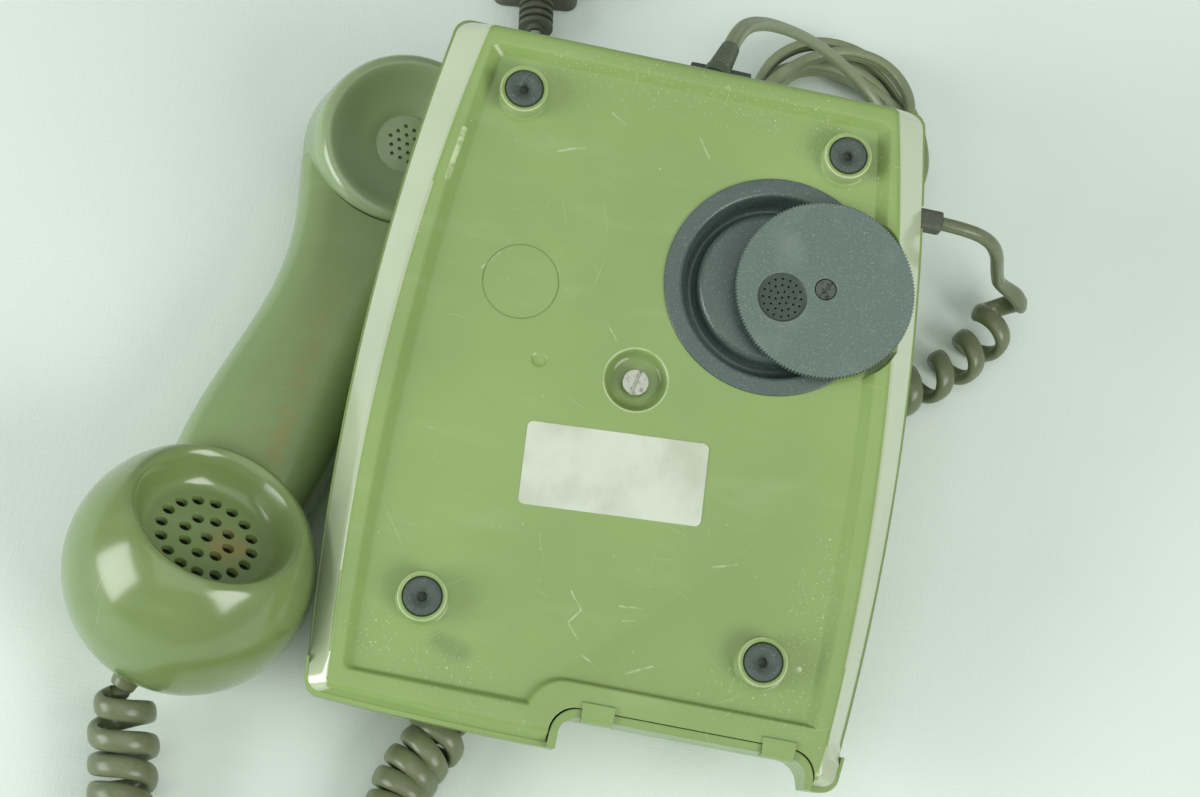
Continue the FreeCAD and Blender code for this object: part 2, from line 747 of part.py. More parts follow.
def cover_screw():
    top = FLOOR_W - SCREW_DISH_DEEP + SCREW_HEAD_H
    size = (SCREW_HEAD_R, SCREW_HEAD_H, SCREW_SHANK_R, SCREW_LONG - 2 * PAST)
    return tilt(slotted_screw(SCREW_U, SCREW_V, top, size, SLOT_WIDE, SCREW_SLOT_DEG))


def rubber_feet():
    feet = []
    for u in (-FOOT_U, FOOT_U):
        for v in (-FOOT_V, FOOT_V):
            foot = disc(u, v, FOOT_R, FOOT_SEAT_W, 0)
            low_point = V(u, v, -FOOT_DIMPLE_DEEP)
            dimple = Part.makeCone(FOOT_DIMPLE_FLOOR_R, FOOT_DIMPLE_R, FOOT_DIMPLE_DEEP, low_point)
            feet.append(tilt(foot.cut(dimple)))
    return feet


def sounder_housing():
    """Black cup with a wide flange, drawn out under the volume disc."""
    top = FLOOR_W + FLANGE_H
    flange = teardrop(0, FLOOR_W, top)
    foot = top - CUP_DEEP - CUP_WALL
    under = PLATFORM_W - CUP_WALL
    cup = disc(SOUNDER_U, SOUNDER_V, MOUTH_R + CUP_WALL, foot, top)
    room = disc(SOUNDER_U, SOUNDER_V, MOUTH_R, top - CUP_DEEP, top + PAST)
    platform = disc(SOUNDER_U, SOUNDER_V, PLATFORM_R, foot, PLATFORM_W)
    hollow = disc(SOUNDER_U, SOUNDER_V, PLATFORM_R - CUP_WALL, foot - PAST, under)
    post = disc(DISC_U, DISC_V, PIVOT_POST_R, top - CUP_DEEP, DISC_TOP_W - DISC_THICK - DISC_GAP)
    bore = disc(DISC_U, DISC_V, PIVOT_R, DISC_TOP_W - PIVOT_LONG - PAST, 0)
    solid = flange.fuse(cup).cut(room).fuse(platform).cut(hollow).fuse(post).cut(bore)
    for ring_r, count in SOUND_RINGS:
        for index in range(count):
            angle = 2 * math.pi * index / count
            u = CAPSULE_U + ring_r * math.cos(angle)
            v = SOUNDER_V + ring_r * math.sin(angle)
            solid = solid.cut(disc(u, v, SOUND_HOLE_R, under - PAST, PLATFORM_W + PAST))
    return tilt(solid.removeSplitter())


def sounder_capsule():
    """Sound capsule up against the platform, beside the disc's post."""
    top = PLATFORM_W - CUP_WALL
    body = disc(CAPSULE_U, SOUNDER_V, CAPSULE_R, top - CAPSULE_H, top)
    magnet_top = top - CAPSULE_H
    magnet = disc(CAPSULE_U, SOUNDER_V, CAPSULE_R / 2, magnet_top - CAPSULE_BACK_H, magnet_top)
    return tilt(body.fuse(magnet))


def volume_disc():
    low = DISC_TOP_W - DISC_THICK
    solid = disc(DISC_U, DISC_V, DISC_R, low, DISC_TOP_W)
    rim = [edge for edge in solid.Edges if edge.Closed]
    solid = solid.makeChamfer(DISC_CHAMFER, rim)
    solid = solid.cut(disc(DISC_U, DISC_V, PIVOT_R + PIVOT_GAP, low - PAST, 0))
    head_low = DISC_TOP_W - PIVOT_HEAD_H - DISC_GAP
    solid = solid.cut(disc(DISC_U, DISC_V, PIVOT_HEAD_R + PIVOT_HEAD_GAP, head_low, 0))
    port_u = DISC_U + PORT_SHIFT_U
    port_v = DISC_V + PORT_SHIFT_V
    solid = solid.cut(disc(port_u, port_v, PORT_R, DISC_TOP_W - PORT_DEEP, 0))
    for ring_r, count in PORT_RINGS:
        for index in range(count):
            angle = 2 * math.pi * index / count
            u = port_u + ring_r * math.cos(angle)
            v = port_v + ring_r * math.sin(angle)
            solid = solid.cut(disc(u, v, PORT_HOLE_R, low - PAST, 0))
    return tilt(solid)


def volume_disc_screw():
    size = (PIVOT_HEAD_R, PIVOT_HEAD_H, PIVOT_R, PIVOT_LONG)
    top = DISC_TOP_W - FIT_GAP
    return tilt(slotted_screw(DISC_U, DISC_V, top, size, PIVOT_SLOT_WIDE, PIVOT_SLOT_DEG))


def label():
    half_long = LABEL_LONG / 2
    half_wide = LABEL_WIDE / 2
    plate = rounded_block(-half_long, half_long, -half_wide, half_wide, 0, LABEL_THICK, LABEL_CORNER_R)
    plate.rotate(V(0, 0, 0), V(0, 0, 1), LABEL_TURN_DEG)
    plate.translate(V(LABEL_U, LABEL_V, FLOOR_W))
    return tilt(plate)


def pcb_corners():
    for u in (PCB_LEFT_U + PCB_INSET, PCB_RIGHT_U - PCB_INSET):
        for v in (PCB_FRONT_V + PCB_INSET, PCB_REAR_V - PCB_INSET):
            yield u, v


def main_board():
    low = PCB_TOP_W - BOARD_THICK
    board = block(PCB_LEFT_U, PCB_RIGHT_U, PCB_FRONT_V, PCB_REAR_V, low, PCB_TOP_W)
    for u, v in pcb_corners():
        board = board.cut(disc(u, v, PCB_SCREW_R, low - PAST, PCB_TOP_W + PAST))
    return tilt(board)


def board_screws():
    screws = []
    for u, v in pcb_corners():
        low = PCB_TOP_W - BOARD_THICK
        head = disc(u, v, PCB_HEAD_R, low - PCB_HEAD_H, low)
        shank = disc(u, v, PCB_SCREW_R, low, PCB_TOP_W + PCB_SCREW_DEEP)
        screws.append(tilt(head.fuse(shank)))
    return screws


def centred_block(u, v, wide, long, low, high):
    return block(u - wide / 2, u + wide / 2, v - long / 2, v + long / 2, low, high)


def transformer():
    """Laminated core with its winding through the middle."""
    high = PCB_TOP_W - BOARD_THICK
    low = high - TRANSFORMER_H
    core = centred_block(TRANSFORMER_U, TRANSFORMER_V, TRANSFORMER_CORE, TRANSFORMER_CORE, low, high)
    coil_wide = TRANSFORMER_COIL_WIDE
    coil_low = low + TRANSFORMER_YOKE
    coil_high = high - TRANSFORMER_YOKE
    coil = centred_block(TRANSFORMER_U, TRANSFORMER_V, TRANSFORMER_COIL, coil_wide, coil_low, coil_high)
    return tilt(core.fuse(coil))


def capacitors():
    """Cans, each given by its place, radius and height."""
    low = PCB_TOP_W - BOARD_THICK
    cans = []
    for u, v, radius, tall in CAPACITORS:
        cans.append(tilt(disc(u, v, radius, low - tall, low)))
    return cans


def dialler_chip():
    high = PCB_TOP_W - BOARD_THICK
    return tilt(centred_block(CHIP_U, CHIP_V, CHIP_WIDE, CHIP_LONG, high - CHIP_H, high))


def terminal_points():
    for index in range(4):
        yield TERMINAL_U, TERMINAL_V + (index - 1.5) * TERMINAL_PITCH


def terminal_block():
    high = PCB_TOP_W - BOARD_THICK
    low = high - TERMINAL_H
    body = centred_block(TERMINAL_U, TERMINAL_V, TERMINAL_WIDE, TERMINAL_LONG, low, high)
    for u, v in terminal_points():
        body = body.cut(disc(u, v, TERMINAL_R, low - PAST, high - TERMINAL_FLOOR))
    return tilt(body)


def terminal_screws():
    low = PCB_TOP_W - BOARD_THICK - TERMINAL_H
    screws = []
    for u, v in terminal_points():
        shank = disc(u, v, TERMINAL_R, low, low + TERMINAL_H - TERMINAL_STOP)
        screws.append(tilt(shank.fuse(disc(u, v, TERMINAL_HEAD_R, low - TERMINAL_HEAD_H, low))))
    return screws


def key_centres():
    mid_y = (BLOCK_FRONT_Y + BLOCK_REAR_Y) / 2
    for row in range(4):
        for column in range(3):
            x = PHONE_X + (1 - column) * KEY_PITCH_X
            y = mid_y + (1.5 - row) * KEY_PITCH_Y
            yield x, y


def keypad_frame():
    """Flanged plate with twelve openings; its face is what the telephone lies on."""
    left = PHONE_X - FRAME_HALF
    right = PHONE_X + FRAME_HALF
    front = BLOCK_FRONT_Y + FRAME_MARGIN
    rear = BLOCK_REAR_Y - FRAME_MARGIN
    flange = rounded_block(left, right, front, rear, 0, BLOCK_FACE_Z, FRAME_CORNER_R)
    inset = FRAME_MARGIN + FRAME_FIT
    plug = block(left + inset, right - inset, front + inset, rear - inset, 0, FRAME_THICK)
    solid = flange.fuse(plug)
    half_x = KEY_LONG_X / 2 + KEY_GAP
    half_y = KEY_LONG_Y / 2 + KEY_GAP
    for x, y in key_centres():
        solid = solid.cut(block(x - half_x, x + half_x, y - half_y, y + half_y, -PAST, FRAME_THICK + PAST))
    for x, y in pad_corners():
        solid = solid.fuse(disc(x, y, PAD_PILLAR_R, FRAME_THICK, MAT_Z + MAT_THICK))
        solid = solid.cut(disc(x, y, PAD_SCREW_R, FRAME_THICK + PAST, MAT_Z + MAT_THICK + PAST))
    return solid.removeSplitter()


def pad_corners():
    mid_y = (BLOCK_FRONT_Y + BLOCK_REAR_Y) / 2
    for x in (PHONE_X - KEY_PITCH_X / 2, PHONE_X + KEY_PITCH_X / 2):
        for y in (mid_y - KEY_PITCH_Y, mid_y + KEY_PITCH_Y):
            yield x, y


def push_key(x, y):
    half_x = KEY_LONG_X / 2
    half_y = KEY_LONG_Y / 2
    collar_low = FRAME_THICK + KEY_COLLAR_GAP
    left = x - half_x
    right = x + half_x
    cap = rounded_block(left, right, y - half_y, y + half_y, KEY_FACE_Z, collar_low, KEY_CORNER_R)
    dish = Part.makeSphere(KEY_DISH_R, V(x, y, KEY_FACE_Z - KEY_DISH_R + KEY_DISH_DEEP))
    cap = cap.cut(dish)
    wide = KEY_LONG_X + 2 * (KEY_COLLAR + KEY_GAP)
    long = KEY_LONG_Y + 2 * (KEY_COLLAR + KEY_GAP)
    collar = centred_block(x, y, wide, long, collar_low, collar_low + KEY_COLLAR_H)
    stem = disc(x, y, KEY_STEM_R, collar_low, KEY_STEM_TOP_Z)
    return cap.fuse(collar).fuse(stem)


def pad_sheet(inset, front_inset, low, high):
    """A flat sheet inside the keypad block."""
    half = BLOCK_HALF - inset
    front = BLOCK_FRONT_Y + front_inset
    rear = BLOCK_REAR_Y - front_inset
    return block(PHONE_X - half, PHONE_X + half, front, rear, low, high)


def key_mat():
    """Rubber sheet behind the keys."""
    sheet = pad_sheet(MAT_INSET, MAT_FRONT_INSET, MAT_Z, MAT_Z + MAT_THICK)
    for x, y in pad_corners():
        hole_r = PAD_PILLAR_R + MAT_HOLE_GAP
        sheet = sheet.cut(disc(x, y, hole_r, MAT_Z - PAST, MAT_Z + MAT_THICK + PAST))
    return sheet


def keypad_board():
    low = MAT_Z + MAT_THICK
    board = pad_sheet(PAD_BOARD_INSET, PAD_BOARD_FRONT_INSET, low, low + BOARD_THICK)
    for x, y in pad_corners():
        board = board.cut(disc(x, y, PAD_SCREW_R, low - PAST, low + BOARD_THICK + PAST))
    return board


def keypad_screws():
    screws = []
    low = MAT_Z + MAT_THICK + BOARD_THICK
    for x, y in pad_corners():
        shank = disc(x, y, PAD_SCREW_R, FRAME_THICK + PAST, low)
        screws.append(shank.fuse(disc(x, y, PAD_HEAD_R, low, low + PAD_HEAD_H)))
    return screws


def hook_plunger():
    """Two posts through the cradle's floor, joined by a bar inside."""
    mid_y = (CHANNEL_FRONT_Y + CHANNEL_REAR_Y) / 2
    bar_high = PLUNGER_BAR_Z + PLUNGER_BAR_H
    bar_long = 2 * PLUNGER_X + PLUNGER_LONG + PLUNGER_BAR_MORE
    bar_wide = PLUNGER_WIDE + PLUNGER_BAR_MORE
    solid = centred_block(PHONE_X, mid_y, bar_long, bar_wide, PLUNGER_BAR_Z, bar_high)
    half_x = PLUNGER_LONG / 2
    front = mid_y - PLUNGER_WIDE / 2
    rear = mid_y + PLUNGER_WIDE / 2
    for x in (PHONE_X - PLUNGER_X, PHONE_X + PLUNGER_X):
        left = x - half_x
        right = x + half_x
        post = rounded_block(left, right, front, rear, PLUNGER_TIP_Z, PLUNGER_BAR_Z, PLUNGER_CORNER_R)
        solid = solid.fuse(post)
    return solid


def hook_switch():
    """Switch body on four legs above the plunger's bar."""
    mid_y = (CHANNEL_FRONT_Y + CHANNEL_REAR_Y) / 2
    high = SWITCH_Z + SWITCH_H
    body = centred_block(PHONE_X, mid_y, SWITCH_LONG, SWITCH_WIDE, SWITCH_Z, high)
    foot_low = CHANNEL_Z + WALL
    for side in (-1, 1):
        x = PHONE_X + side * SWITCH_LEG_X
        for across in (-1, 1):
            y = mid_y + across * SWITCH_LEG_Y
            body = body.fuse(disc(x, y, SWITCH_LEG_R, foot_low, SWITCH_Z))
    return body


def hook_spring():
    mid_y = (CHANNEL_FRONT_Y + CHANNEL_REAR_Y) / 2
    low = PLUNGER_BAR_Z + PLUNGER_BAR_H
    outer = disc(PHONE_X, mid_y, SPRING_R, low, SWITCH_Z)
    return outer.cut(disc(PHONE_X, mid_y, SPRING_R - SPRING_WALL, low - PAST, SWITCH_Z + PAST))


def grip_section(s, half, shift, low, top):
    """One upright rounded section of the grip, across t at distance s."""
    mid_z = (low + top) / 2
    half_z = (top - low) / 2
    round_r = min(half, half_z) * GRIP_ROUND
    x0 = -shift - half
    x1 = -shift + half
    flat = [
        V(x0 + round_r, s, mid_z - half_z + round_r),
        V(x1 - round_r, s, mid_z - half_z + round_r),
        V(x1 - round_r, s, mid_z + half_z - round_r),
        V(x0 + round_r, s, mid_z + half_z - round_r),
    ]
    return Part.makePolygon(flat + [flat[0]]).makeOffset2D(round_r)


def ball(grow):
    return Part.makeSphere(BALL_R - grow, V(0, 0, BALL_Z))


def ear_place(shape):
    """Tip a shape that is drawn below z = 0 as the earpiece lies, and move it there."""
    placed = shape.copy()
    placed.rotate(V(0, 0, 0), V(1, 0, 0), EAR_PITCH_DEG)
    placed.rotate(V(0, 0, 0), V(0, 1, 0), EAR_ROLL_DEG)
    placed.translate(V(-EAR_T, HANDSET_SPAN, EAR_TOP_Z))
    return placed


def ear_cup(grow):
    """The earpiece end of the handle, a round cup up to the cap's seat."""
    low = grow - EAR_DEEP
    belly_r = EAR_R - grow
    foot_r = EAR_FOOT_R - grow
    widest = V(belly_r, 0, -EAR_WIDEST)
    flank = V(foot_r + EAR_FLANK_OUT * (belly_r - foot_r), 0, low - EAR_FLANK_UP * (low + EAR_WIDEST))
    middle = V(0, 0, low)
    edge = V(foot_r, 0, low)
    seat = V(EAR_SEAT_R - grow, 0, -EAR_CAP_H)
    top = V(0, 0, -EAR_CAP_H)
    outline = [
        Part.makeLine(middle, edge),
        Part.Arc(edge, flank, widest).toShape(),
        Part.makeLine(widest, seat),
        Part.makeLine(seat, top),
        Part.makeLine(top, middle),
    ]
    return ear_place(Part.Face(Part.Wire(outline)).revolve(V(0, 0, 0), V(0, 0, 1), 360))


def grip(grow):
    """The grip, between the two ends."""
    sections = []
    for share, half, shift, low, top in GRIP_SECTIONS:
        sections.append(grip_section(HANDSET_SPAN * share, half - grow, shift, low + grow, top - grow))
    return Part.makeLoft(sections, True, False)


def scoop_tool(grow):
    """The round hollow in the mouthpiece, widening from its plate to the ball's skin."""
    deep = math.sqrt(BALL_R ** 2 - SCOOP_RIM_R ** 2) - SCOOP_PLATE_HIGH
    plate = SCOOP_PLATE_R + grow
    widen = SCOOP_RIM_R - SCOOP_PLATE_R
    return scoop_place(Part.makeCone(plate, plate + 2 * widen, 2 * deep, V(0, 0, -grow)))


def scoop_place(shape):
    """Tip a shape from the plate's frame towards the earpiece, and lift it into the ball."""
    placed = shape.copy()
    placed.translate(V(0, 0, SCOOP_PLATE_HIGH))
    placed.rotate(V(0, 0, 0), V(1, 0, 0), -SCOOP_NORMAL_DEG)
    placed.rotate(V(0, 0, 0), V(0, 0, 1), -SCOOP_TURN_DEG)
    placed.translate(V(0, 0, BALL_Z))
    return placed


def transmitter_cap():
    """Ball-shaped mouthpiece cap with a scoop and 25 holes."""
    keep = block(-FAR, FAR, -FAR, FAR, CAP_SPLIT_Z, FAR)
    outer = ball(0).cut(scoop_tool(0))
    inner = ball(SHELL).cut(scoop_tool(SHELL))
    cap = outer.cut(inner).common(keep)
    for ring_r, count in MOUTH_RINGS:
        for index in range(count):
            angle = 2 * math.pi * (index + 0.5) / count
            x = ring_r * math.cos(angle)
            y = ring_r * math.sin(angle)
            cap = cap.cut(scoop_place(disc(x, y, MOUTH_HOLE_R, -2 * SHELL, PAST)))
    return handset_place(cap)


def handset_handle():
    """Grip, lower half of the ball and the earpiece's cup in one hollow moulding."""
    split = CAP_SPLIT_Z - CAP_LIP
    low_ball = ball(0).common(block(-FAR, FAR, -FAR, FAR, -FAR, split))
    bar = grip(0).cut(ball(0).common(block(-FAR, FAR, -FAR, FAR, split, FAR)))
    seat_room = ear_place(disc(0, 0, EAR_SEAT_R + CAP_LIP, -EAR_CAP_H, FAR / 2))
    solid = low_ball.fuse([bar, ear_cup(0)]).cut(seat_room)
    room = grip(SHELL).common(block(-FAR, FAR, BALL_R * 0.7, HANDSET_SPAN, -FAR, FAR))
    solid = solid.cut(ball(SHELL)).cut(room.cut(ear_place(disc(0, 0, EAR_R, -EAR_CAP_H - SHELL, FAR / 2))))
    solid = solid.cut(ear_cup(SHELL))
    tip, inward = relief_line()
    cord_hole = Part.makeCylinder(RELIEF_NECK_R + FIT_GAP, 2 * RELIEF_LONG, tip, inward)
    return handset_place(solid).cut(cord_hole)


def receiver_cap():
    """Dished earpiece cap with a small perforated middle."""
    seat = CAP_LIP - EAR_CAP_H
    skirt_r = EAR_SEAT_R - SHELL - EAR_SKIRT_GAP
    outline = [
        V(0, 0, seat - EAR_SKIRT_H),
        V(skirt_r, 0, seat - EAR_SKIRT_H),
        V(skirt_r, 0, seat),
        V(EAR_SEAT_R - CAP_LIP, 0, seat),
        V(EAR_RIM_R, 0, -EAR_LIP_H),
        V(EAR_CREST_R, 0, 0),
        V(0, 0, 0),
    ]
    face = Part.Face(Part.makePolygon(outline + [outline[0]]))
    solid = face.revolve(V(0, 0, 0), V(0, 0, 1), 360)
    dish_r = (EAR_CREST_R ** 2 + EAR_DISH_DEEP ** 2) / (2 * EAR_DISH_DEEP)
    solid = solid.cut(Part.makeSphere(dish_r, V(0, 0, dish_r - EAR_DISH_DEEP)))
    for column in range(-3, 4):
        for row in range(-3, 4):
            x = EAR_HOLE_PITCH * (column + 0.5 * (row % 2))
            y = EAR_HOLE_PITCH * row * math.sin(math.radians(60))
            if math.hypot(x, y) < EAR_PORT_R - EAR_HOLE_EDGE:
                solid = solid.cut(disc(x, y, EAR_HOLE_R, seat - EAR_SKIRT_H - PAST, 0))
    return handset_place(ear_place(solid))


def transmitter_capsule():
    top = -SHELL - CAN_GAP
    return handset_place(scoop_place(disc(0, 0, MOUTH_CAN_R, top - MOUTH_CAN_H, top)))


def receiver_capsule():
    top = CAP_LIP - EAR_CAP_H - EAR_SKIRT_H - CAN_GAP
    return handset_place(ear_place(disc(0, 0, EAR_CAN_R, top - EAR_CAN_H, top)))


def relief_line():
    """Where the curly cord's relief starts, in the ball, and which way it points."""
    tip = V(*CURLY_COIL[-1])
    inward = tip - V(*CURLY_COIL[-2])
    inward.normalize()
    return tip + inward * CORD_GAP, inward


def handset_relief():
    """Tapered strain relief where the curly cord leaves the mouthpiece end."""
    tip, inward = relief_line()
    taper = Part.makeCone(CURLY_WIRE_D / 2 + RELIEF_TIP_MORE, RELIEF_ROOT_R, RELIEF_LONG, tip, inward)
    taper = taper.cut(handset_place(ball(-FIT_GAP)))
    neck = Part.makeCylinder(RELIEF_NECK_R, RELIEF_LONG, tip, inward)
    neck = neck.cut(handset_place(ball(SHELL + RELIEF_NECK_PAST)))
    return taper.fuse(neck)


def handset_gland():
    """Grommet block of the curly cord in the right side of the case."""
    half = GLAND_HALF
    low = GLAND_W - GLAND_H / 2
    high = GLAND_W + GLAND_H / 2
    body = block(GLAND_OUT_U - GLAND_LONG, GLAND_OUT_U, GLAND_V - half, GLAND_V + half, low, high)
    return tilt(body)


def line_gland():
    """Square root in the rear wall, and a taper along the first run of the line cord."""
    half = LINE_GLAND_HALF
    low = LINE_GLAND_W - LINE_GLAND_H / 2
    high = LINE_GLAND_W + LINE_GLAND_H / 2
    left = LINE_GLAND_U - half
    right = LINE_GLAND_U + half
    root = block(left, right, REAR_V - LINE_GLAND_LONG, REAR_V + LINE_GLAND_OUT, low, high)
    tip = V(*LINE_ROUTE[0])
    mouth = tilt_point(LINE_GLAND_U, REAR_V + LINE_GLAND_OUT / 2, LINE_GLAND_W)
    back = mouth - tip
    taper = Part.makeCone(LINE_D / 2, LINE_GLAND_H / 2 + LINE_GLAND_MORE, back.Length, tip, back)
    return tilt(root).fuse(taper)


def cord_path(points):
    """Straight runs joined by tangent arcs, and the arcs' radii."""
    edges = []
    radii = []
    here = points[0]
    for index in range(1, len(points) - 1):
        before = points[index] - points[index - 1]
        after = points[index + 1] - points[index]
        half_turn = before.getAngle(after) / 2
        trim = 0.45 * min(before.Length, after.Length)
        radii.append(trim / math.tan(half_turn))
        step_in = V(before)
        step_in.normalize()
        step_out = V(after)
        step_out.normalize()
        arc_start = points[index] - step_in * trim
        arc_end = points[index] + step_out * trim
        bend = step_out - step_in
        bend.normalize()
        sag = trim * (1 - math.cos(half_turn)) / math.sin(half_turn)
        middle = points[index] + bend * sag
        edges.append(Part.makeLine(here, arc_start))
        edges.append(Part.Arc(arc_start, middle, arc_end).toShape())
        here = arc_end
    edges.append(Part.makeLine(here, points[-1]))
    return edges, radii


def cord_tube(name, triples, diameter):
    points = [V(*triple) for triple in triples]
    edges, radii = cord_path(points)
    wire = Part.Wire(edges)
    start = points[0]
    along = points[1] - points[0]
    section = Part.Wire(Part.makeCircle(diameter / 2, start, along))
    tube = wire.makePipeShell([section], True, False, 2)
    ideal = math.pi * diameter ** 2 / 4 * wire.Length
    print(name, "length", round(wire.Length, 1), "volume share", round(tube.Volume / ideal, 4))
    print("  radii", [round(radius, 1) for radius in radii])
    return tube


def hank():
    """The loose coil of the line cord, as the closed ring that its turns fill."""
    profile = [
        V(HANK_IN_R, 0, 0),
        V(HANK_OUT_R, 0, 0),
        V(HANK_OUT_R, 0, HANK_H - HANK_SHOULDER),
        V(HANK_OUT_R - HANK_SHOULDER, 0, HANK_H),
        V(HANK_IN_R + HANK_SHOULDER, 0, HANK_H),
        V(HANK_IN_R, 0, HANK_H - HANK_SHOULDER),
    ]
    face = Part.Face(Part.makePolygon(profile + [profile[0]]))
    ring = face.revolve(V(0, 0, 0), V(0, 0, 1), 360)
    ring.translate(V(HANK_X, HANK_Y, 0))
    return ring


def line_plug():
    """Telephone plug: ribbed relief, body and pins, lying on the table."""
    front = PLUG_RELIEF_LONG + PLUG_LONG
    along = V(1, 0, 0)
    tip_r = LINE_D / 2 + RELIEF_TIP_MORE
    relief = Part.makeCone(tip_r, PLUG_ROOT_R, PLUG_RELIEF_LONG, V(0, 0, 0), along)
    low = -PLUG_HALF_H
    body = rounded_block(PLUG_RELIEF_LONG, front, -PLUG_HALF, PLUG_HALF, low, PLUG_HALF_H, PLUG_CORNER_R)
    solid = relief.fuse(body)
    for index in range(PLUG_RIDGES):
        start = V(PLUG_RIDGE_THICK + PLUG_RIDGE_PITCH * index, 0, 0)
        solid = solid.fuse(Part.makeCylinder(PLUG_RIDGE_R, PLUG_RIDGE_THICK, start, along))
    half_y = PIN_THICK / 2
    half_z = PIN_HIGH / 2
    for place in (-1.5, -0.5, 0.5, 1.5):
        y = place * PIN_PITCH
        pin = block(front, front + PIN_LONG, y - half_y, y + half_y, -half_z, half_z)
        solid = solid.fuse(pin)
    solid.rotate(V(0, 0, 0), V(0, 0, 1), PLUG_HEADING_DEG)
    solid.translate(V(*TAIL_ROUTE[-1]))
    return solid


def export(name, made):
    """Write one named piece, a single solid or a group of separate ones."""
    solids = []
    for shape in made if isinstance(made, list) else [made]:
        solids.extend(shape.Solids)
    if not isinstance(made, list) and len(solids) != 1:
        print("CHECK", name, "has", len(solids), "solids")
    for solid in solids:
        if not solid.isValid():
            print("CHECK", name, "is not valid")
    whole = solids[0] if len(solids) == 1 else Part.makeCompound(solids)
    whole.exportStep("parts/" + name + ".step")
    return whole


PIECES = {
    "base_moulding": base_moulding,
    "cover_case": cover_case,
    "cover_screw": cover_screw,
    "rubber_feet": rubber_feet,
    "sounder_housing": sounder_housing,
    "sounder_capsule": sounder_capsule,
    "volume_disc": volume_disc,
    "volume_disc_screw": volume_disc_screw,
    "label": label,
    "main_board": main_board,
    "board_screws": board_screws,
    "transformer": transformer,
    "capacitors": capacitors,
    "dialler_chip": dialler_chip,
    "terminal_block": terminal_block,
    "terminal_screws": terminal_screws,
    "keypad_frame": keypad_frame,
    "key_mat": key_mat,
    "keypad_board": keypad_board,
    "keypad_screws": keypad_screws,
    "hook_plunger": hook_plunger,
    "hook_switch": hook_switch,
    "hook_spring": hook_spring,
    "handset_handle": handset_handle,
    "transmitter_cap": transmitter_cap,
    "receiver_cap": receiver_cap,
    "transmitter_capsule": transmitter_capsule,
    "receiver_capsule": receiver_capsule,
    "handset_relief": handset_relief,
    "handset_gland": handset_gland,
    "line_gland": line_gland,
    "line_hank": hank,
    "line_plug": line_plug,
}
KEY_NAMES = ("1", "2", "3", "4", "5", "6", "7", "8", "9", "star", "0", "hash")

for name, make in PIECES.items():
    export(name, make())
for key_name, (key_x, key_y) in zip(KEY_NAMES, key_centres()):
    export("key_" + key_name, push_key(key_x, key_y))
export("curly_lead", cord_tube("curly_lead", CURLY_LEAD, CURLY_WIRE_D))
export("curly_coil", cord_tube("curly_coil", CURLY_COIL, CURLY_OUTER_D))
export("line_cord", cord_tube("line_cord", LINE_ROUTE, LINE_D))
export("line_tail", cord_tube("line_tail", TAIL_ROUTE, LINE_D))
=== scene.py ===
import bmesh
import bpy
import math
from mathutils import Matrix, Vector


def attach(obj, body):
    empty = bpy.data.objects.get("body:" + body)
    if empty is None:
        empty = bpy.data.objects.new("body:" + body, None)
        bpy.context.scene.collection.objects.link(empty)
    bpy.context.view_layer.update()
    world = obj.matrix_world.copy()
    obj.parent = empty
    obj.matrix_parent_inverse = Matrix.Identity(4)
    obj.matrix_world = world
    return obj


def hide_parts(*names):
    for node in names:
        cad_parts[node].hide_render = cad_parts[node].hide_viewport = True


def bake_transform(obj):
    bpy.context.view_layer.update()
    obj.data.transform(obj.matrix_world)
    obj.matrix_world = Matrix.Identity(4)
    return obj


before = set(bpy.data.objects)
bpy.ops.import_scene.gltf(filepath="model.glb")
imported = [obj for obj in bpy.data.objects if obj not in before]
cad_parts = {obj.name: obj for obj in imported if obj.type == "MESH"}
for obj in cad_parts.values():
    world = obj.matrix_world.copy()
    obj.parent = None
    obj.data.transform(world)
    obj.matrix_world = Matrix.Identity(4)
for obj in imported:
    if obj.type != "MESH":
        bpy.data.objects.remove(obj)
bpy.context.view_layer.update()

# A push-button telephone lying on its face, with its handset beside it.
# Shapes are drawn in millimetres, in the base's own frame (u right, v rear, w out of the
# underside), in the handset's frame, or in the table frame, and placed in metres. A profile is a
# list of (radius, height) pairs.

MM = 0.001
scene = bpy.context.scene

# Where the telephone and the handset lie, as in the CAD
TILT = math.radians(14.5)
PHONE_AT = (35.4, -5.2, 76.0)
BALL_AT = (-81.5, -77.9, 0.0)
BALL_R = 36.4
BALL_Z = 37.1
HANDSET_TURN = math.radians(12.9)
BASE_FRAME = Matrix.Scale(MM, 4) @ Matrix.Translation(PHONE_AT) @ Matrix.Rotation(TILT, 4, "X")
HANDSET_FRAME = Matrix.Scale(MM, 4) @ Matrix.Translation(BALL_AT) @ Matrix.Rotation(-HANDSET_TURN, 4, "Z")
TABLE_FRAME = Matrix.Scale(MM, 4)

# Places on the base
DISC_AT = (49.5, 34.8)
SOUNDER_AT = (35.1, 34.0)
SCREW_AT = (-0.65, -2.2)
CIRCLE_AT = (-39.4, 20.3)
DIMPLE_AT = (-29.7, -1.8)
FEET_AT = [(u, v) for u in (-49.5, 49.5) for v in (-77.0, 77.0)]

# Camera, at the photograph's viewing angle
CAMERA_AT = (-0.00904, -0.29803, 0.64385)
CAMERA_RIGHT = (0.97925, 0.15223, 0.13375)
CAMERA_UP = (-0.19546, 0.88374, 0.42520)
CAMERA_BACK = (-0.05348, -0.44252, 0.89516)
CAMERA_LENS = 66.0
CAMERA_SENSOR = 36.0


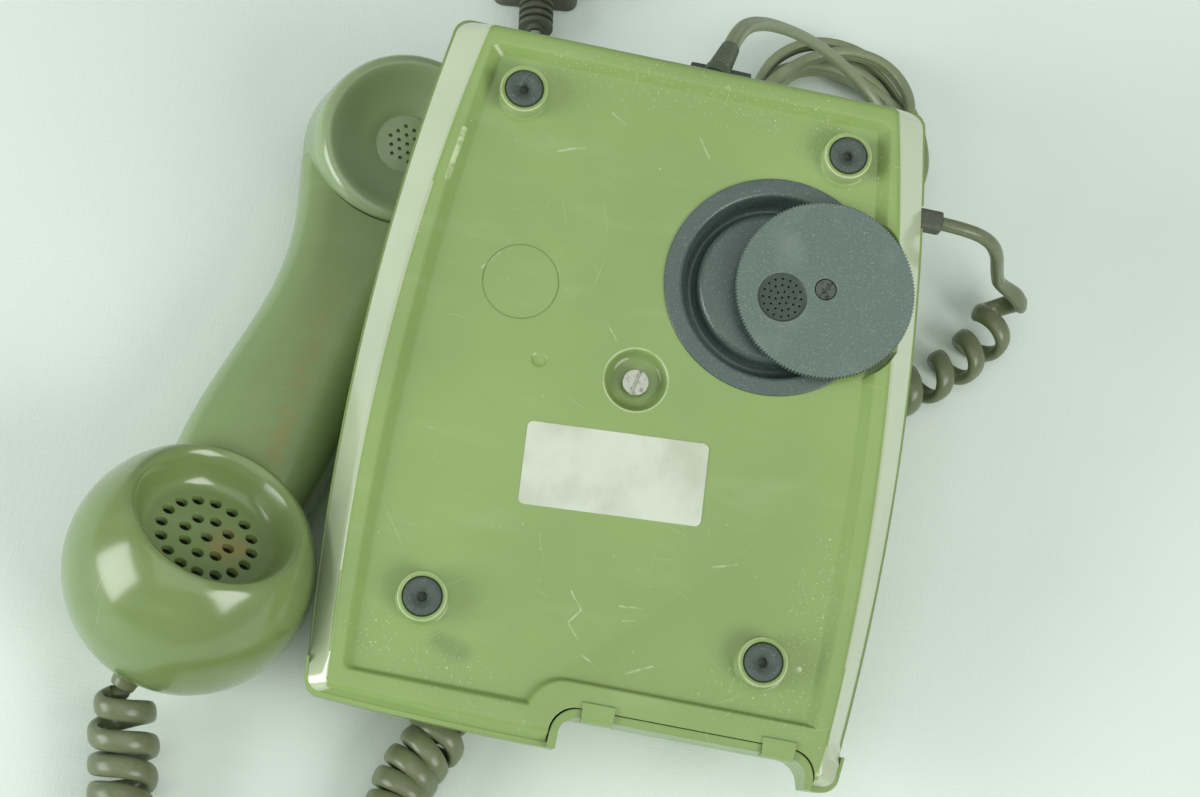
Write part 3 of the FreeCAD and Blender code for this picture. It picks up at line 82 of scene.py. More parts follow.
def make_camera():
    data = bpy.data.cameras.new("camera")
    data.lens = CAMERA_LENS
    data.sensor_width = CAMERA_SENSOR
    data.sensor_fit = "HORIZONTAL"
    camera = bpy.data.objects.new("camera", data)
    turn = Matrix((CAMERA_RIGHT, CAMERA_UP, CAMERA_BACK)).transposed().to_4x4()
    camera.matrix_world = Matrix.Translation(CAMERA_AT) @ turn
    scene.collection.objects.link(camera)
    scene.camera = camera


make_camera()


# Mesh helpers
def shade(obj, angle=35.0):
    mesh = obj.data
    mesh.polygons.foreach_set("use_smooth", [True] * len(mesh.polygons))
    mesh.set_sharp_from_angle(angle=math.radians(angle))


def mesh_object(name, surface, placed=Matrix.Identity(4), angle=35.0):
    """A mesh from its points in millimetres and its faces, placed by a matrix."""
    verts, faces = surface
    mesh = bpy.data.meshes.new(name)
    mesh.from_pydata([tuple(v) for v in verts], [], faces)
    mesh.transform(placed)
    mesh.validate()
    obj = bpy.data.objects.new(name, mesh)
    scene.collection.objects.link(obj)
    bm = bmesh.new()
    bm.from_mesh(mesh)
    bmesh.ops.recalc_face_normals(bm, faces=bm.faces)
    bm.to_mesh(mesh)
    bm.free()
    shade(obj, angle)
    return obj


def skin(loops):
    """The points and faces of a stack of equally long closed loops, capped at both ends."""
    count = len(loops[0])
    verts = [point for loop in loops for point in loop]
    faces = []
    for row in range(len(loops) - 1):
        for i in range(count):
            j = (i + 1) % count
            a = row * count
            b = a + count
            faces.append((a + i, a + j, b + j, b + i))
    faces.append(tuple(reversed(range(count))))
    last = (len(loops) - 1) * count
    faces.append(tuple(range(last, last + count)))
    return verts, faces


def around(centre, radius, angle):
    """The place at a radius and an angle round a centre."""
    return centre[0] + radius * math.cos(angle), centre[1] + radius * math.sin(angle)


def lathe(profile, segments=96, centre=(0.0, 0.0)):
    """The points and faces of a shape turned about the vertical axis."""
    angles = [2 * math.pi * i / segments for i in range(segments)]
    return skin([[(*around(centre, r, angle), height) for angle in angles] for r, height in profile])


def ring_places(rings, start, centre=(0.0, 0.0)):
    """The places of holes set in rings, each given by its radius and how many it holds."""
    for radius, count in rings:
        for i in range(count):
            yield around(centre, radius, 2 * math.pi * (i + start) / count)


def rounded(points, radii, steps=6):
    """A line through the points, with its inner corners eased over the radii given."""
    line = [points[0]]
    for index in range(1, len(points) - 1):
        corner = Vector(points[index])
        before = Vector(points[index - 1]) - corner
        after = Vector(points[index + 1]) - corner
        reach = min(radii[index - 1], before.length * 0.49, after.length * 0.49)
        start = corner + before.normalized() * reach
        end = corner + after.normalized() * reach
        for step in range(steps + 1):
            t = step / steps
            line.append(tuple(start * (1 - t) ** 2 + corner * (2 * t * (1 - t)) + end * t ** 2))
    line.append(points[-1])
    return line


def boolean(target, cutter, operation="DIFFERENCE"):
    modifier = target.modifiers.new("cut", "BOOLEAN")
    modifier.operation = operation
    modifier.solver = "EXACT"
    modifier.object = cutter
    bpy.context.view_layer.objects.active = target
    bpy.ops.object.modifier_apply(modifier=modifier.name)
    bpy.data.objects.remove(cutter, do_unlink=True)


def join(name, objects):
    """Several meshes as one object, without merging them."""
    bm = bmesh.new()
    for obj in objects:
        bm.from_mesh(obj.data)
    mesh = bpy.data.meshes.new(name)
    bm.to_mesh(mesh)
    bm.free()
    for obj in objects:
        bpy.data.objects.remove(obj, do_unlink=True)
    joined = bpy.data.objects.new(name, mesh)
    scene.collection.objects.link(joined)
    return joined


def dress(obj, *finishes):
    for finish in finishes:
        obj.data.materials.append(finish)


def standing_for(obj, finish, body, node):
    """A piece gets its finish, moves with a body and takes the place of a node of the CAD."""
    dress(obj, finish)
    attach(obj, body)
    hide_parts(node)


# Materials
class Graph:
    """A short way to write a material's nodes."""

    def __init__(self, name):
        self.material = bpy.data.materials.new(name)
        self.material.use_nodes = True
        self.tree = self.material.node_tree
        self.tree.nodes.clear()
        output = self.node("ShaderNodeOutputMaterial")
        self.shader = self.node("ShaderNodeBsdfPrincipled")
        self.feed(output.inputs["Surface"], self.shader.outputs["BSDF"])
        self.coords = self.node("ShaderNodeTexCoord").outputs["Object"]

    def feed(self, socket, value):
        if isinstance(value, bpy.types.NodeSocket):
            self.tree.links.new(value, socket)
        else:
            socket.default_value = value

    def node(self, kind, inputs=None, **settings):
        """A node with its settings, and with values or sockets for its inputs."""
        made = self.tree.nodes.new(kind)
        for key, value in settings.items():
            setattr(made, key, value)
        for key, value in (inputs or {}).items():
            self.feed(made.inputs[key], value)
        return made

    def surface(self, inputs):
        """Values or sockets for the surface itself."""
        for key, value in inputs.items():
            self.feed(self.shader.inputs[key], value)
        return self.material

    def noise(self, scale, detail=3.0, rough=0.55, stretch=None, turn=0.0):
        coords = self.coords
        if stretch:
            mapped = {"Scale": stretch, "Rotation": (0, 0, turn), "Vector": coords}
            coords = self.node("ShaderNodeMapping", mapped).outputs["Vector"]
        inputs = {"Vector": coords, "Scale": scale, "Detail": detail, "Roughness": rough}
        return self.node("ShaderNodeTexNoise", inputs).outputs["Fac"]

    def steps(self, value, low, high, start=0.0, end=1.0):
        inputs = {"Value": value, "From Min": low, "From Max": high, "To Min": start, "To Max": end}
        return self.node("ShaderNodeMapRange", inputs, interpolation_type="SMOOTHSTEP").outputs["Result"]

    def math(self, operation, a, b=0.0):
        return self.node("ShaderNodeMath", {0: a, 1: b}, operation=operation).outputs["Value"]

    def mix(self, factor, a, b):
        return self.node("ShaderNodeMix", {"Factor": factor, 6: a, 7: b}, data_type="RGBA").outputs[2]

    def bump(self, height, distance, strength, normal=None):
        inputs = {"Height": height, "Distance": distance, "Strength": strength}
        if normal is not None:
            inputs["Normal"] = normal
        return self.node("ShaderNodeBump", inputs).outputs["Normal"]

    def edge(self, radius):
        return self.node("ShaderNodeBevel", {"Radius": radius}, samples=6).outputs["Normal"]

    def vector(self, operation, a, b=(0.0, 0.0, 0.0), output="Vector"):
        return self.node("ShaderNodeVectorMath", {0: a, 1: b}, operation=operation).outputs[output]

    def placed(self, at, turn):
        """Coordinates in millimetres, in a frame that stands at a place and is turned."""
        inputs = {
            "Location": [c * MM for c in at],
            "Rotation": turn,
            "Scale": (MM, MM, MM),
            "Vector": self.coords,
        }
        return self.node("ShaderNodeMapping", inputs, vector_type="TEXTURE").outputs["Vector"]

    def stroke(self, coords, start, end):
        """How far a point of the plan lies from a straight stroke."""
        start = Vector((*start, 0.0))
        along = Vector((*end, 0.0)) - start
        flat = self.vector("MULTIPLY", coords, (1.0, 1.0, 0.0))
        away = self.vector("SUBTRACT", flat, start)
        share = self.vector("DOT_PRODUCT", away, along / max(along.length_squared, 1e-6), "Value")
        held = self.math("MINIMUM", self.math("MAXIMUM", share, 0.0), 1.0)
        reach = self.node("ShaderNodeVectorMath", {0: along, "Scale": held}, operation="SCALE")
        rest = self.vector("SUBTRACT", away, reach.outputs["Vector"])
        return self.vector("LENGTH", rest, output="Value")

    def nearest(self, values):
        lowest = values[0]
        for value in values[1:]:
            lowest = self.math("MINIMUM", lowest, value)
        return lowest

    def most(self, values):
        highest = values[0]
        for value in values[1:]:
            highest = self.math("MAXIMUM", highest, value)
        return highest

    def cells(self, size):
        """A pattern of cells of one size, and chances that differ from cell to cell."""
        cell = self.node("ShaderNodeTexVoronoi", {"Vector": self.coords, "Scale": 1.0 / size})
        chance = self.node("ShaderNodeSeparateColor", {"Color": cell.outputs["Color"]})
        return cell.outputs, chance.outputs

    def hairlines(self, size, width, share):
        """One straight scratch in some of the cells of a pattern, each at its own slant."""
        cell, chance = self.cells(size)
        slant = self.vector("NORMALIZE", self.vector("SUBTRACT", cell["Color"], (0.5, 0.5, 0.5)))
        away = self.vector("SUBTRACT", self.coords, cell["Position"])
        off = self.math("ABSOLUTE", self.vector("DOT_PRODUCT", away, slant, "Value"))
        line = self.steps(off, width * 0.3, width, 1.0, 0.0)
        short = self.steps(self.vector("LENGTH", away, output="Value"), size * 0.2, size * 0.45, 1.0, 0.0)
        kept = self.math("LESS_THAN", chance["Green"], share)
        return self.math("MULTIPLY", self.math("MULTIPLY", line, short), kept)

    def specks(self, size, radius, share):
        """Small round specks in some of the cells of a pattern."""
        cell, chance = self.cells(size)
        grown = self.math("MULTIPLY", self.math("ADD", chance["Red"], 0.3), radius / size)
        inside = self.math("LESS_THAN", cell["Distance"], grown)
        return self.math("MULTIPLY", inside, self.math("LESS_THAN", chance["Green"], share))

    def node_colour(self, scale):
        """Three noises at once, about zero, to shake coordinates with."""
        noises = self.node("ShaderNodeTexNoise", {"Vector": self.coords, "Scale": scale})
        return self.vector("SUBTRACT", noises.outputs["Color"], (0.5, 0.5, 0.5))


def colour(r, g, b):
    """A colour given as the screen shows it, 0 to 255."""
    linear = []
    for channel in (r, g, b):
        share = channel / 255
        linear.append(share / 12.92 if share <= 0.04045 else ((share + 0.055) / 1.055) ** 2.4)
    return (*linear, 1.0)


# Wear on the base, in its own frame: strokes of pale scratches and where dust has gathered, with painted
# shade beside the feet bosses and in the screw dish, and painted highlight on their rims
SCRATCHES = [
    ((-7.5, -66.7), (-4.2, -71.7)),
    ((-4.2, -71.7), (-7.0, -75.8)),
    ((-7.0, -75.8), (-3.7, -80.0)),
    ((-1.7, -84.2), (5.0, -88.3)),
    ((11.7, -87.2), (19.2, -83.8)),
    ((6.7, -68.0), (13.3, -68.0)),
    ((11.7, -71.7), (8.3, -72.5)),
    ((-36.0, 62.0), (-28.0, 64.5)),
    ((-22.0, 77.0), (-17.5, 74.0)),
    ((5.0, 75.0), (9.0, 69.0)),
    ((-52.0, 22.0), (-47.0, 27.5)),
    ((-12.0, 12.5), (-8.5, 8.5)),
    ((31.0, -52.0), (38.0, -50.0)),
]
RUBBED = [((-64.6, 62.0), (-66.6, 46.5)), ((60.8, -76.7), (61.0, -76.5))]
DUSTY = [
    ((64.0, -40.0), (61.0, -90.0)),
    ((40.0, -88.0), (60.0, -88.0)),
    ((40.0, 80.0), (60.0, 74.0)),
    ((-40.0, 88.0), (40.0, 88.0)),
    ((-62.0, -90.0), (-30.0, -98.0)),
]
# Painted shadow: darker strokes on the floor beside the raised bosses of the feet
BOSS_SHADOWS = [((-60.0, 80.0), (-57.5, 74.0)), ((58.0, 82.0), (59.5, 76.0)), ((-42.0, -88.0), (-36.0, -90.0))]
BOSS_RIM_R = 7.0
DISH_RIM_R = 9.55
# Painted highlight: pale rings round the rims of the feet bosses and the screw dish, at these radii
RIMS = [(at, BOSS_RIM_R) for at in FEET_AT] + [(SCREW_AT, DISH_RIM_R)]
# Painted shade colour, for the floor beside the feet bosses and inside the screw dish
PAINTED_SHADE_GREEN = colour(92, 112, 66)
STAIN = colour(150, 128, 74)
DUST = colour(222, 226, 205)


def base_wear(g, body, scratch_and_glint, specks):
    """The base's own scratches, rubbed edges and dust, each at its place, with painted highlight on the rims
    of the feet bosses and the screw dish, and painted shade beside the bosses and inside the dish.
    """
    coords = g.placed(PHONE_AT, (TILT, 0.0, 0.0))
    shake = g.vector("MULTIPLY", g.node_colour(90.0), (2.2, 2.2, 0.0))
    shaken = g.vector("ADD", coords, shake)
    marks = g.nearest([g.stroke(shaken, *ends) for ends in SCRATCHES])
    broken = g.steps(g.noise(260.0), 0.35, 0.65, 0.1, 1.0)
    drawn = g.math("MULTIPLY", g.steps(marks, 0.05, 0.38, 0.55, 0.0), broken)
    worn_rim = g.steps(g.nearest([g.stroke(coords, *ends) for ends in RUBBED]), 0.5, 1.0, 0.8, 0.0)
    rub = g.math("MULTIPLY", worn_rim, g.steps(g.noise(300.0), 0.35, 0.6, 0.2, 1.0))
    # Painted highlight: pale rings on the rounded rims, mixed in with the scratches in the worn colour
    rim_glints = []
    for at, radius in RIMS:
        off = g.math("ABSOLUTE", g.math("SUBTRACT", g.stroke(coords, at, at), radius))
        rim_glints.append(g.steps(off, 0.1, 0.38, 0.55, 0.0))
    rim_highlight = g.math("MULTIPLY", g.most(rim_glints), g.steps(g.noise(120.0), 0.3, 0.6, 0.3, 1.0))
    near = g.steps(g.nearest([g.stroke(coords, *ends) for ends in DUSTY]), 1.0, 13.0, 1.0, 0.0)
    fine = g.most([g.specks(0.0016, 0.0002, 0.4), g.specks(0.0007, 0.00012, 0.55)])
    crumbs = g.math("MULTIPLY", fine, near)
    patchy = g.steps(g.noise(22.0, detail=2.0), 0.42, 0.62)
    sand = g.math("MULTIPLY", g.specks(0.0021, 0.00017, 0.22), patchy)
    # Painted shadow beside the feet bosses, in the painted shade colour
    dirt_and_shade = g.steps(g.nearest([g.stroke(shaken, *ends) for ends in BOSS_SHADOWS]), 0.5, 4.5, 0.4, 0.0)
    # Painted shade: the screw dish darkened inside its rim
    dish_shade = g.steps(g.stroke(coords, SCREW_AT, SCREW_AT), 8.4, 9.4, 0.42, 0.0)
    body = g.mix(g.math("MAXIMUM", dirt_and_shade, dish_shade), body, PAINTED_SHADE_GREEN)
    return body, g.most([scratch_and_glint, drawn, rub, rim_highlight]), g.most([specks, crumbs, sand])


def stained(g, body, at, radius, strength):
    """A ragged brown stain round a place given in the table frame, in millimetres."""
    away = g.vector("LENGTH", g.vector("SUBTRACT", g.coords, [c * MM for c in at]), output="Value")
    radius *= MM
    ragged = g.math("ADD", away, g.steps(g.noise(240.0, detail=3.0), 0.2, 0.8, 0.0, radius * 0.6))
    return g.mix(g.steps(ragged, radius * 0.4, radius * 1.2, strength, 0.0), body, STAIN)


def plastic(name, base, worn, rough, wear, dust=0.03, on_base=False, coat=0.0, coat_ior=1.6, stains=()):
    """Moulded plastic with soft mottling, fine straight scratches, specks of dust and grime; on the base,
    also painted shade and painted highlight.
    """
    g = Graph(name)
    patches = g.steps(g.noise(11.0, detail=3.0), 0.3, 0.7)
    body = g.mix(patches, base, tuple(c * 0.86 for c in base[:3]) + (1.0,))
    streaks = g.steps(g.noise(1.0, detail=4.0, stretch=(30, 90, 60), turn=0.5), 0.5, 0.85, 0.0, 0.10)
    body = g.mix(streaks, body, worn)
    hairlines = ((0.016, 0.00008, 0.5), (0.008, 0.00006, 0.4), (0.030, 0.00009, 0.3))
    lines = g.most([g.hairlines(*kind) for kind in hairlines])
    faded = g.math("MULTIPLY", lines, g.steps(g.noise(45.0, detail=2.0), 0.42, 0.66, 0.1, 1.0))
    scratch_and_glint = g.math("MULTIPLY", faded, wear)
    specks = g.specks(0.0026, 0.00022, dust)
    if on_base:
        body, scratch_and_glint, specks = base_wear(g, body, scratch_and_glint, specks)
    for stain in stains:
        body = stained(g, body, *stain)
    # Scratches in the worn colour; on the base, also the painted highlight of the rims
    body = g.mix(scratch_and_glint, body, worn)
    body = g.mix(g.math("MULTIPLY", specks, 0.6), body, DUST)
    smudge = g.steps(g.noise(30.0, detail=4.0), 0.35, 0.75, rough * 0.85, rough * 1.25)
    rougher = g.math("ADD", smudge, g.math("MULTIPLY", g.math("MAXIMUM", scratch_and_glint, specks), 0.25))
    ripple = g.bump(g.noise(260.0, detail=2.0), 0.00002, 0.6, g.edge(0.0005))
    return g.surface({
        "Base Color": body,
        "Roughness": rougher,
        "Coat Weight": coat,
        "Coat IOR": coat_ior,
        "Coat Roughness": 0.15,
        "Normal": g.bump(g.math("SUBTRACT", 0.0, scratch_and_glint), 0.00004, 0.5, ripple),
    })


def grained(name, base, pale, rough, grain=1400.0, depth=0.00012, scuff=0.4, fleck=0.5):
    """Spark-eroded plastic or rubber: a fine even grain with paler rubbed places."""
    g = Graph(name)
    fine = g.noise(grain, detail=2.0, rough=0.6)
    scuffs = g.steps(g.noise(60.0, detail=5.0), 0.50, 0.75, 0.0, scuff)
    flecks = g.steps(fine, 0.56, 0.72, 0.0, fleck)
    body = g.mix(g.math("MAXIMUM", scuffs, flecks), base, pale)
    lines = g.math("MULTIPLY", g.hairlines(0.012, 0.00007, 0.4), 0.4)
    crumbs = g.math("MULTIPLY", g.specks(0.0013, 0.00016, 0.12), 0.7)
    body = g.mix(g.math("MAXIMUM", lines, crumbs), body, pale)
    return g.surface({
        "Base Color": body,
        "Roughness": g.math("ADD", rough, g.math("MULTIPLY", scuffs, -0.1)),
        "Normal": g.bump(fine, depth, 0.8, g.edge(0.0004)),
    })


def metal(name, base, dark, rough):
    """Dull metal with fine lines and dirt."""
    g = Graph(name)
    dirt_and_shade = g.steps(g.noise(700.0, detail=3.0), 0.5, 0.75)
    lines = g.noise(1.0, detail=3.0, stretch=(300, 6000, 300))
    return g.surface({
        "Base Color": g.mix(dirt_and_shade, base, dark),
        "Metallic": 0.7,
        "Roughness": g.steps(dirt_and_shade, 0.0, 1.0, rough, rough + 0.3),
        "Normal": g.bump(lines, 0.00003, 0.5, g.edge(0.0002)),
    })


def paper(name, base, dark):
    """Aged paper: small brown and grey specks and a slightly uneven surface."""
    g = Graph(name)
    clouds = g.steps(g.noise(60.0, detail=4.0), 0.35, 0.75)
    body = g.mix(g.math("MULTIPLY", clouds, 0.35), base, dark)
    specks = g.steps(g.noise(2200.0, detail=2.0), 0.66, 0.74, 0.0, 0.55)
    return g.surface({
        "Base Color": g.mix(specks, body, dark),
        "Roughness": 0.5,
        "Normal": g.bump(g.noise(500.0, detail=3.0), 0.00004, 0.5, g.edge(0.0002)),
    })


def cloth(name, base, dark):
    """Plain woven cloth for the floor."""
    g = Graph(name)
    across = g.noise(1.0, detail=2.0, stretch=(1500, 90, 90))
    along = g.noise(1.0, detail=2.0, stretch=(90, 1500, 90))
    weave = g.math("ADD", across, along)
    clouds = g.steps(g.noise(5.0, detail=3.0), 0.3, 0.7)
    body = g.mix(g.math("MULTIPLY", clouds, 0.5), base, dark)
    folds = g.bump(g.noise(9.0, detail=2.0), 0.004, 0.35)
    return g.surface({
        "Base Color": body,
        "Roughness": 0.95,
        "Specular IOR Level": 0.1,
        "Normal": g.bump(weave, 0.0003, 0.25, folds),
    })


# Grime on the handset: places in the table frame, how far it spreads and how strong it is
GRIP_STAINS = [((-60.0 - 0.6 * i, 22.0 - 6.8 * i, 38.0 + 0.4 * i), 7.0, 0.16 + 0.03 * i) for i in range(11)]
MOUTH_STAINS = [((-70.0, -72.0, 51.0), 11.0, 0.6), ((-74.0, -75.0, 50.5), 7.0, 0.4)]
EAR_STAINS = [((-30.0, 52.0, 47.0), 8.0, 0.45), ((-38.0, 53.0, 47.0), 6.0, 0.4)]
HANDSET = {"worn": colour(190, 204, 164), "rough": 0.22, "wear": 0.22, "dust": 0.02, "coat": 0.4}
PALE_GREEN = colour(206, 218, 178)
GREEN = plastic("green_plastic", colour(136, 162, 94), PALE_GREEN, 0.24, wear=0.3)
TRAY = plastic("tray_plastic", colour(139, 165, 97), PALE_GREEN, 0.21, wear=0.34, on_base=True)
# Painted reflection: the sloping sides are painted paler than the tray, as the bright lamps beside them
# would show in them, with some worn haze
FACET_SHEEN = plastic(
    "facet_plastic_sheen", colour(187, 199, 166), colour(216, 226, 200), 0.16, wear=0.3, coat=0.8, coat_ior=1.7
)
HANDSET_GREEN = plastic("grip_plastic", colour(130, 152, 100), stains=GRIP_STAINS, **HANDSET)
MOUTH_GREEN = plastic("mouth_plastic", colour(120, 142, 84), stains=MOUTH_STAINS, **HANDSET)
# Painted light: the earpiece cap is the handset's green painted paler, to lift the shade in its dish
EAR_GREEN_LIT = plastic("ear_plastic_lit", colour(143, 163, 119), stains=EAR_STAINS, **HANDSET)
BLACK = grained(
    "disc_plastic", colour(94, 111, 104), colour(146, 160, 150), 0.40, grain=1900.0, scuff=0.25, fleck=0.6
)
# A darker copy of the disc's plastic for the floor of its port: painted shade in the recess
PORT_SHADE = grained("port_plastic_shaded", colour(58, 70, 64), colour(96, 108, 102), 0.5, grain=1900.0, scuff=0.1)
SOUNDER = grained(
    "sounder_plastic", colour(76, 92, 86), colour(132, 146, 138), 0.21, grain=1900.0, scuff=0.1, fleck=0.5
)
RUBBER = grained("foot_rubber", colour(72, 82, 76), colour(124, 134, 126), 0.7, grain=1700.0, depth=0.0002)
STEEL = metal("screw_steel", colour(184, 186, 174), colour(140, 136, 120), 0.32)
DARK_STEEL = metal("disc_screw_steel", colour(92, 98, 94), colour(36, 38, 36), 0.4)
PAPER = paper("label_paper", colour(204, 212, 194), colour(128, 132, 104))
CORD = grained(
    "cord_sheath", colour(103, 111, 81), colour(144, 150, 118), 0.3, grain=500.0, depth=0.00003, fleck=0.2
)
LINE_SHEATH = grained(
    "line_sheath", colour(130, 140, 108), colour(160, 168, 142), 0.34, grain=500.0, depth=0.00003, fleck=0.2
)
SLEEVE = grained("sleeve_dark", colour(74, 86, 66), colour(104, 114, 94), 0.45, grain=900.0, depth=0.00004)
RELIEF = grained("relief_brown", colour(80, 82, 68), colour(112, 114, 98), 0.5, grain=900.0, depth=0.00004)
SHADE = grained("capsule_dark", colour(30, 34, 28), colour(52, 56, 46), 0.6)
BOARD = grained("board_green", colour(30, 92, 44), colour(120, 150, 90), 0.35, grain=500.0, depth=0.00003)
KEY = plastic("key_plastic", colour(206, 208, 198), colour(230, 230, 220), 0.3, wear=0.2, dust=0.02)
DARK = grained("frame_dark", colour(38, 40, 40), colour(70, 72, 72), 0.5)
MAT = grained("mat_rubber", colour(150, 150, 142), colour(176, 176, 168), 0.7, grain=600.0)
CAN = metal("can_metal", colour(196, 198, 200), colour(140, 140, 140), 0.3)
CHIP = grained("chip_black", colour(26, 26, 26), colour(60, 60, 60), 0.5)
CORE = metal("core_steel", colour(120, 118, 112), colour(70, 50, 36), 0.5)
NYLON = plastic("nylon", colour(214, 210, 194), colour(230, 226, 214), 0.45, wear=0.1, dust=0.02)
CLOTH = cloth("floor_cloth", colour(230, 241, 233), colour(222, 233, 225))

NODE_FINISHES = (
    (GREEN, ("base_moulding", "cover_case")),
    (HANDSET_GREEN, ("handset_handle", "transmitter_cap", "receiver_cap")),
    (SOUNDER, ("sounder_housing",)),
    (BLACK, ("volume_disc",)),
    (RUBBER, ("rubber_feet",)),
    (STEEL, ("cover_screw", "board_screws", "terminal_screws", "keypad_screws", "hook_spring")),
    (DARK_STEEL, ("volume_disc_screw",)),
    (PAPER, ("label",)),
    (CORD, ("curly_lead", "curly_coil", "handset_relief")),
    (LINE_SHEATH, ("line_cord", "line_tail", "line_hank")),
    (RELIEF, ("handset_gland", "line_gland", "line_plug")),
    (BOARD, ("main_board", "keypad_board")),
    (DARK, ("keypad_frame",)),
    (MAT, ("key_mat",)),
    (CAN, ("capacitors", "sounder_capsule")),
    (SHADE, ("transmitter_capsule", "receiver_capsule")),
    (CHIP, ("dialler_chip",)),
    (CORE, ("transformer",)),
    (NYLON, ("terminal_block", "hook_plunger", "hook_switch")),
)


def dress_nodes():
    """Every carried-over piece of the CAD gets its material, and the keys have the one left over."""
    finishes = {name: finish for finish, names in NODE_FINISHES for name in names}
    for name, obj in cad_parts.items():
        for slot in obj.material_slots:
            slot.material = finishes.get(name, KEY)


dress_nodes()

# Cords: the angle in degrees from which an edge of theirs is sharp
CORD_SHARP_FROM = 60.0


def cord_line(name, points):
    """The smooth line that a cord follows: a NURBS spline with the route as its points."""
    curve = bpy.data.curves.new(name, "CURVE")
    curve.dimensions = "3D"
    curve.resolution_u = 24
    spline = curve.splines.new("NURBS")
    spline.points.add(len(points) - 1)
    for target, point in zip(spline.points, points):
        target.co = (*point, 1.0)
    spline.order_u = 3
    spline.use_endpoint_u = True
    obj = bpy.data.objects.new(name, curve)
    mesh = bpy.data.meshes.new_from_object(obj)
    line = [v.co.copy() for v in mesh.vertices]
    bpy.data.objects.remove(obj)
    bpy.data.meshes.remove(mesh)
    return line


def even(line, spacing):
    """Points a set distance apart along a line."""
    placed = [line[0].copy()]
    left = spacing
    for a, b in zip(line, line[1:]):
        run = (b - a).length
        while run > left:
            a = a + (b - a).normalized() * left
            run -= left
            placed.append(a.copy())
            left = spacing
        left -= run
    placed.append(line[-1].copy())
    return placed


def frames_along(line):
    """Two cross directions at each point, carried along without twist."""
    frames = []
    tangent = (line[1] - line[0]).normalized()
    across = tangent.cross(Vector((0, 0, 1)))
    if across.length < 0.1:
        across = tangent.cross(Vector((0, 1, 0)))
    across.normalize()
    for i in range(len(line)):
        ahead = line[min(i + 1, len(line) - 1)] - line[max(i - 1, 0)]
        new = ahead.normalized()
        across = (across - new * across.dot(new)).normalized()
        frames.append((new, across, new.cross(across)))
    return frames


def tube(name, line, section, material):
    """A mesh swept along a line, in millimetres in the table frame."""
    loops = []
    for point, (_, across, up) in zip(line, frames_along(line)):
        loops.append([point + across * x + up * y for x, y in section])
    obj = mesh_object(name, skin(loops), TABLE_FRAME, CORD_SHARP_FROM)
    dress(obj, material)
    return obj


def ease(share):
    """From 0 to 1, starting and ending gently."""
    held = min(1.0, max(0.0, share))
    return held * held * (3 - 2 * held)


def between(table, at):
    """A value read from (place, value) pairs, straight between them."""
    for (a, at_a), (b, at_b) in zip(table, table[1:]):
        if at <= b:
            return at_a + (at_b - at_a) * max(0.0, at - a) / (b - a)
    return table[-1][1]


# Curly cord, from the case's right side, under the case and round to the handset
WIRE_ROUND = 4.2
WIRE_WIDE = 6.4
WIRE_THICK = 3.9
CURLY_LEAD = [
    (119.6, 65.6, 73.9),
    (128.5, 65.5, 73.6),
    (136.5, 66.3, 69.0),
    (141.3, 67.1, 61.0),
    (144.8, 69.5, 48.5),
    (149.2, 74.0, 34.0),
]
CURLY_COIL = [
    (154.0, 77.6, 21.0),
    (156.6, 77.0, 12.5),
    (155.6, 71.5, 9.2),
    (149.8, 61.2, 8.9),
    (139.0, 48.6, 8.9),
    (121.0, 34.9, 8.9),
    (96.0, 20.9, 8.9),
    (64.0, 10.4, 8.9),
    (31.0, 11.4, 8.9),
    (2.0, 5.4, 8.9),
    (-19.0, -17.1, 8.9),
    (-25.0, -47.1, 8.9),
    (-24.0, -66.1, 8.9),
    (-16.0, -83.6, 9.2),
    (2.0, -101.1, 9.6),
    (-9.0, -117.6, 9.6),
    (-10.5, -133.1, 9.6),
    (-11.0, -155.1, 9.6),
    (-21.0, -178.1, 9.7),
    (-38.0, -191.1, 9.8),
    (-59.0, -192.1, 9.8),
    (-76.0, -179.1, 9.9),
    (-84.5, -159.1, 10.0),
    (-87.3, -140.1, 10.3),
    (-90.0, -127.6, 12.0),
    (-92.5, -119.1, 16.0),
    (-94.6, -112.0, 19.5),
]
# Where the winding starts, how far it takes to open, which way it first goes, where it begins to
# turn and how far it takes to turn at its full rate and to close at the end
COIL_STARTS = 55.0
COIL_OPENS = 23.0
COIL_FIRST_WAY = Vector((0.98, -0.12, 0.0))
COIL_TURNS_FROM = 73.0
COIL_SPEEDS_UP = 8.0
COIL_CLOSES = 4.5
# Its radius and its pitch, as (place along the route, value)
COIL_RADIUS = (
    (68.0, 7.4),
    (84.0, 6.7),
    (94.0, 5.9),
    (150.0, 5.7),
    (345.0, 6.0),
    (385.0, 7.3),
    (520.0, 7.6),
    (565.0, 8.2),
)
COIL_PITCH = ((68.0, 13.4), (150.0, 11.5), (330.0, 6.9), (400.0, 6.9), (540.0, 8.6), (575.0, 9.4))
CURLY_STEP = 0.35


def oval(wide, thick, count=14, square=0.85):
    """A flattened round section."""
    section = []
    for i in range(count):
        angle = 2 * math.pi * i / count
        x = wide / 2 * math.copysign(abs(math.cos(angle)) ** square, math.cos(angle))
        y = thick / 2 * math.copysign(abs(math.sin(angle)) ** square, math.sin(angle))
        section.append((x, y))
    return section


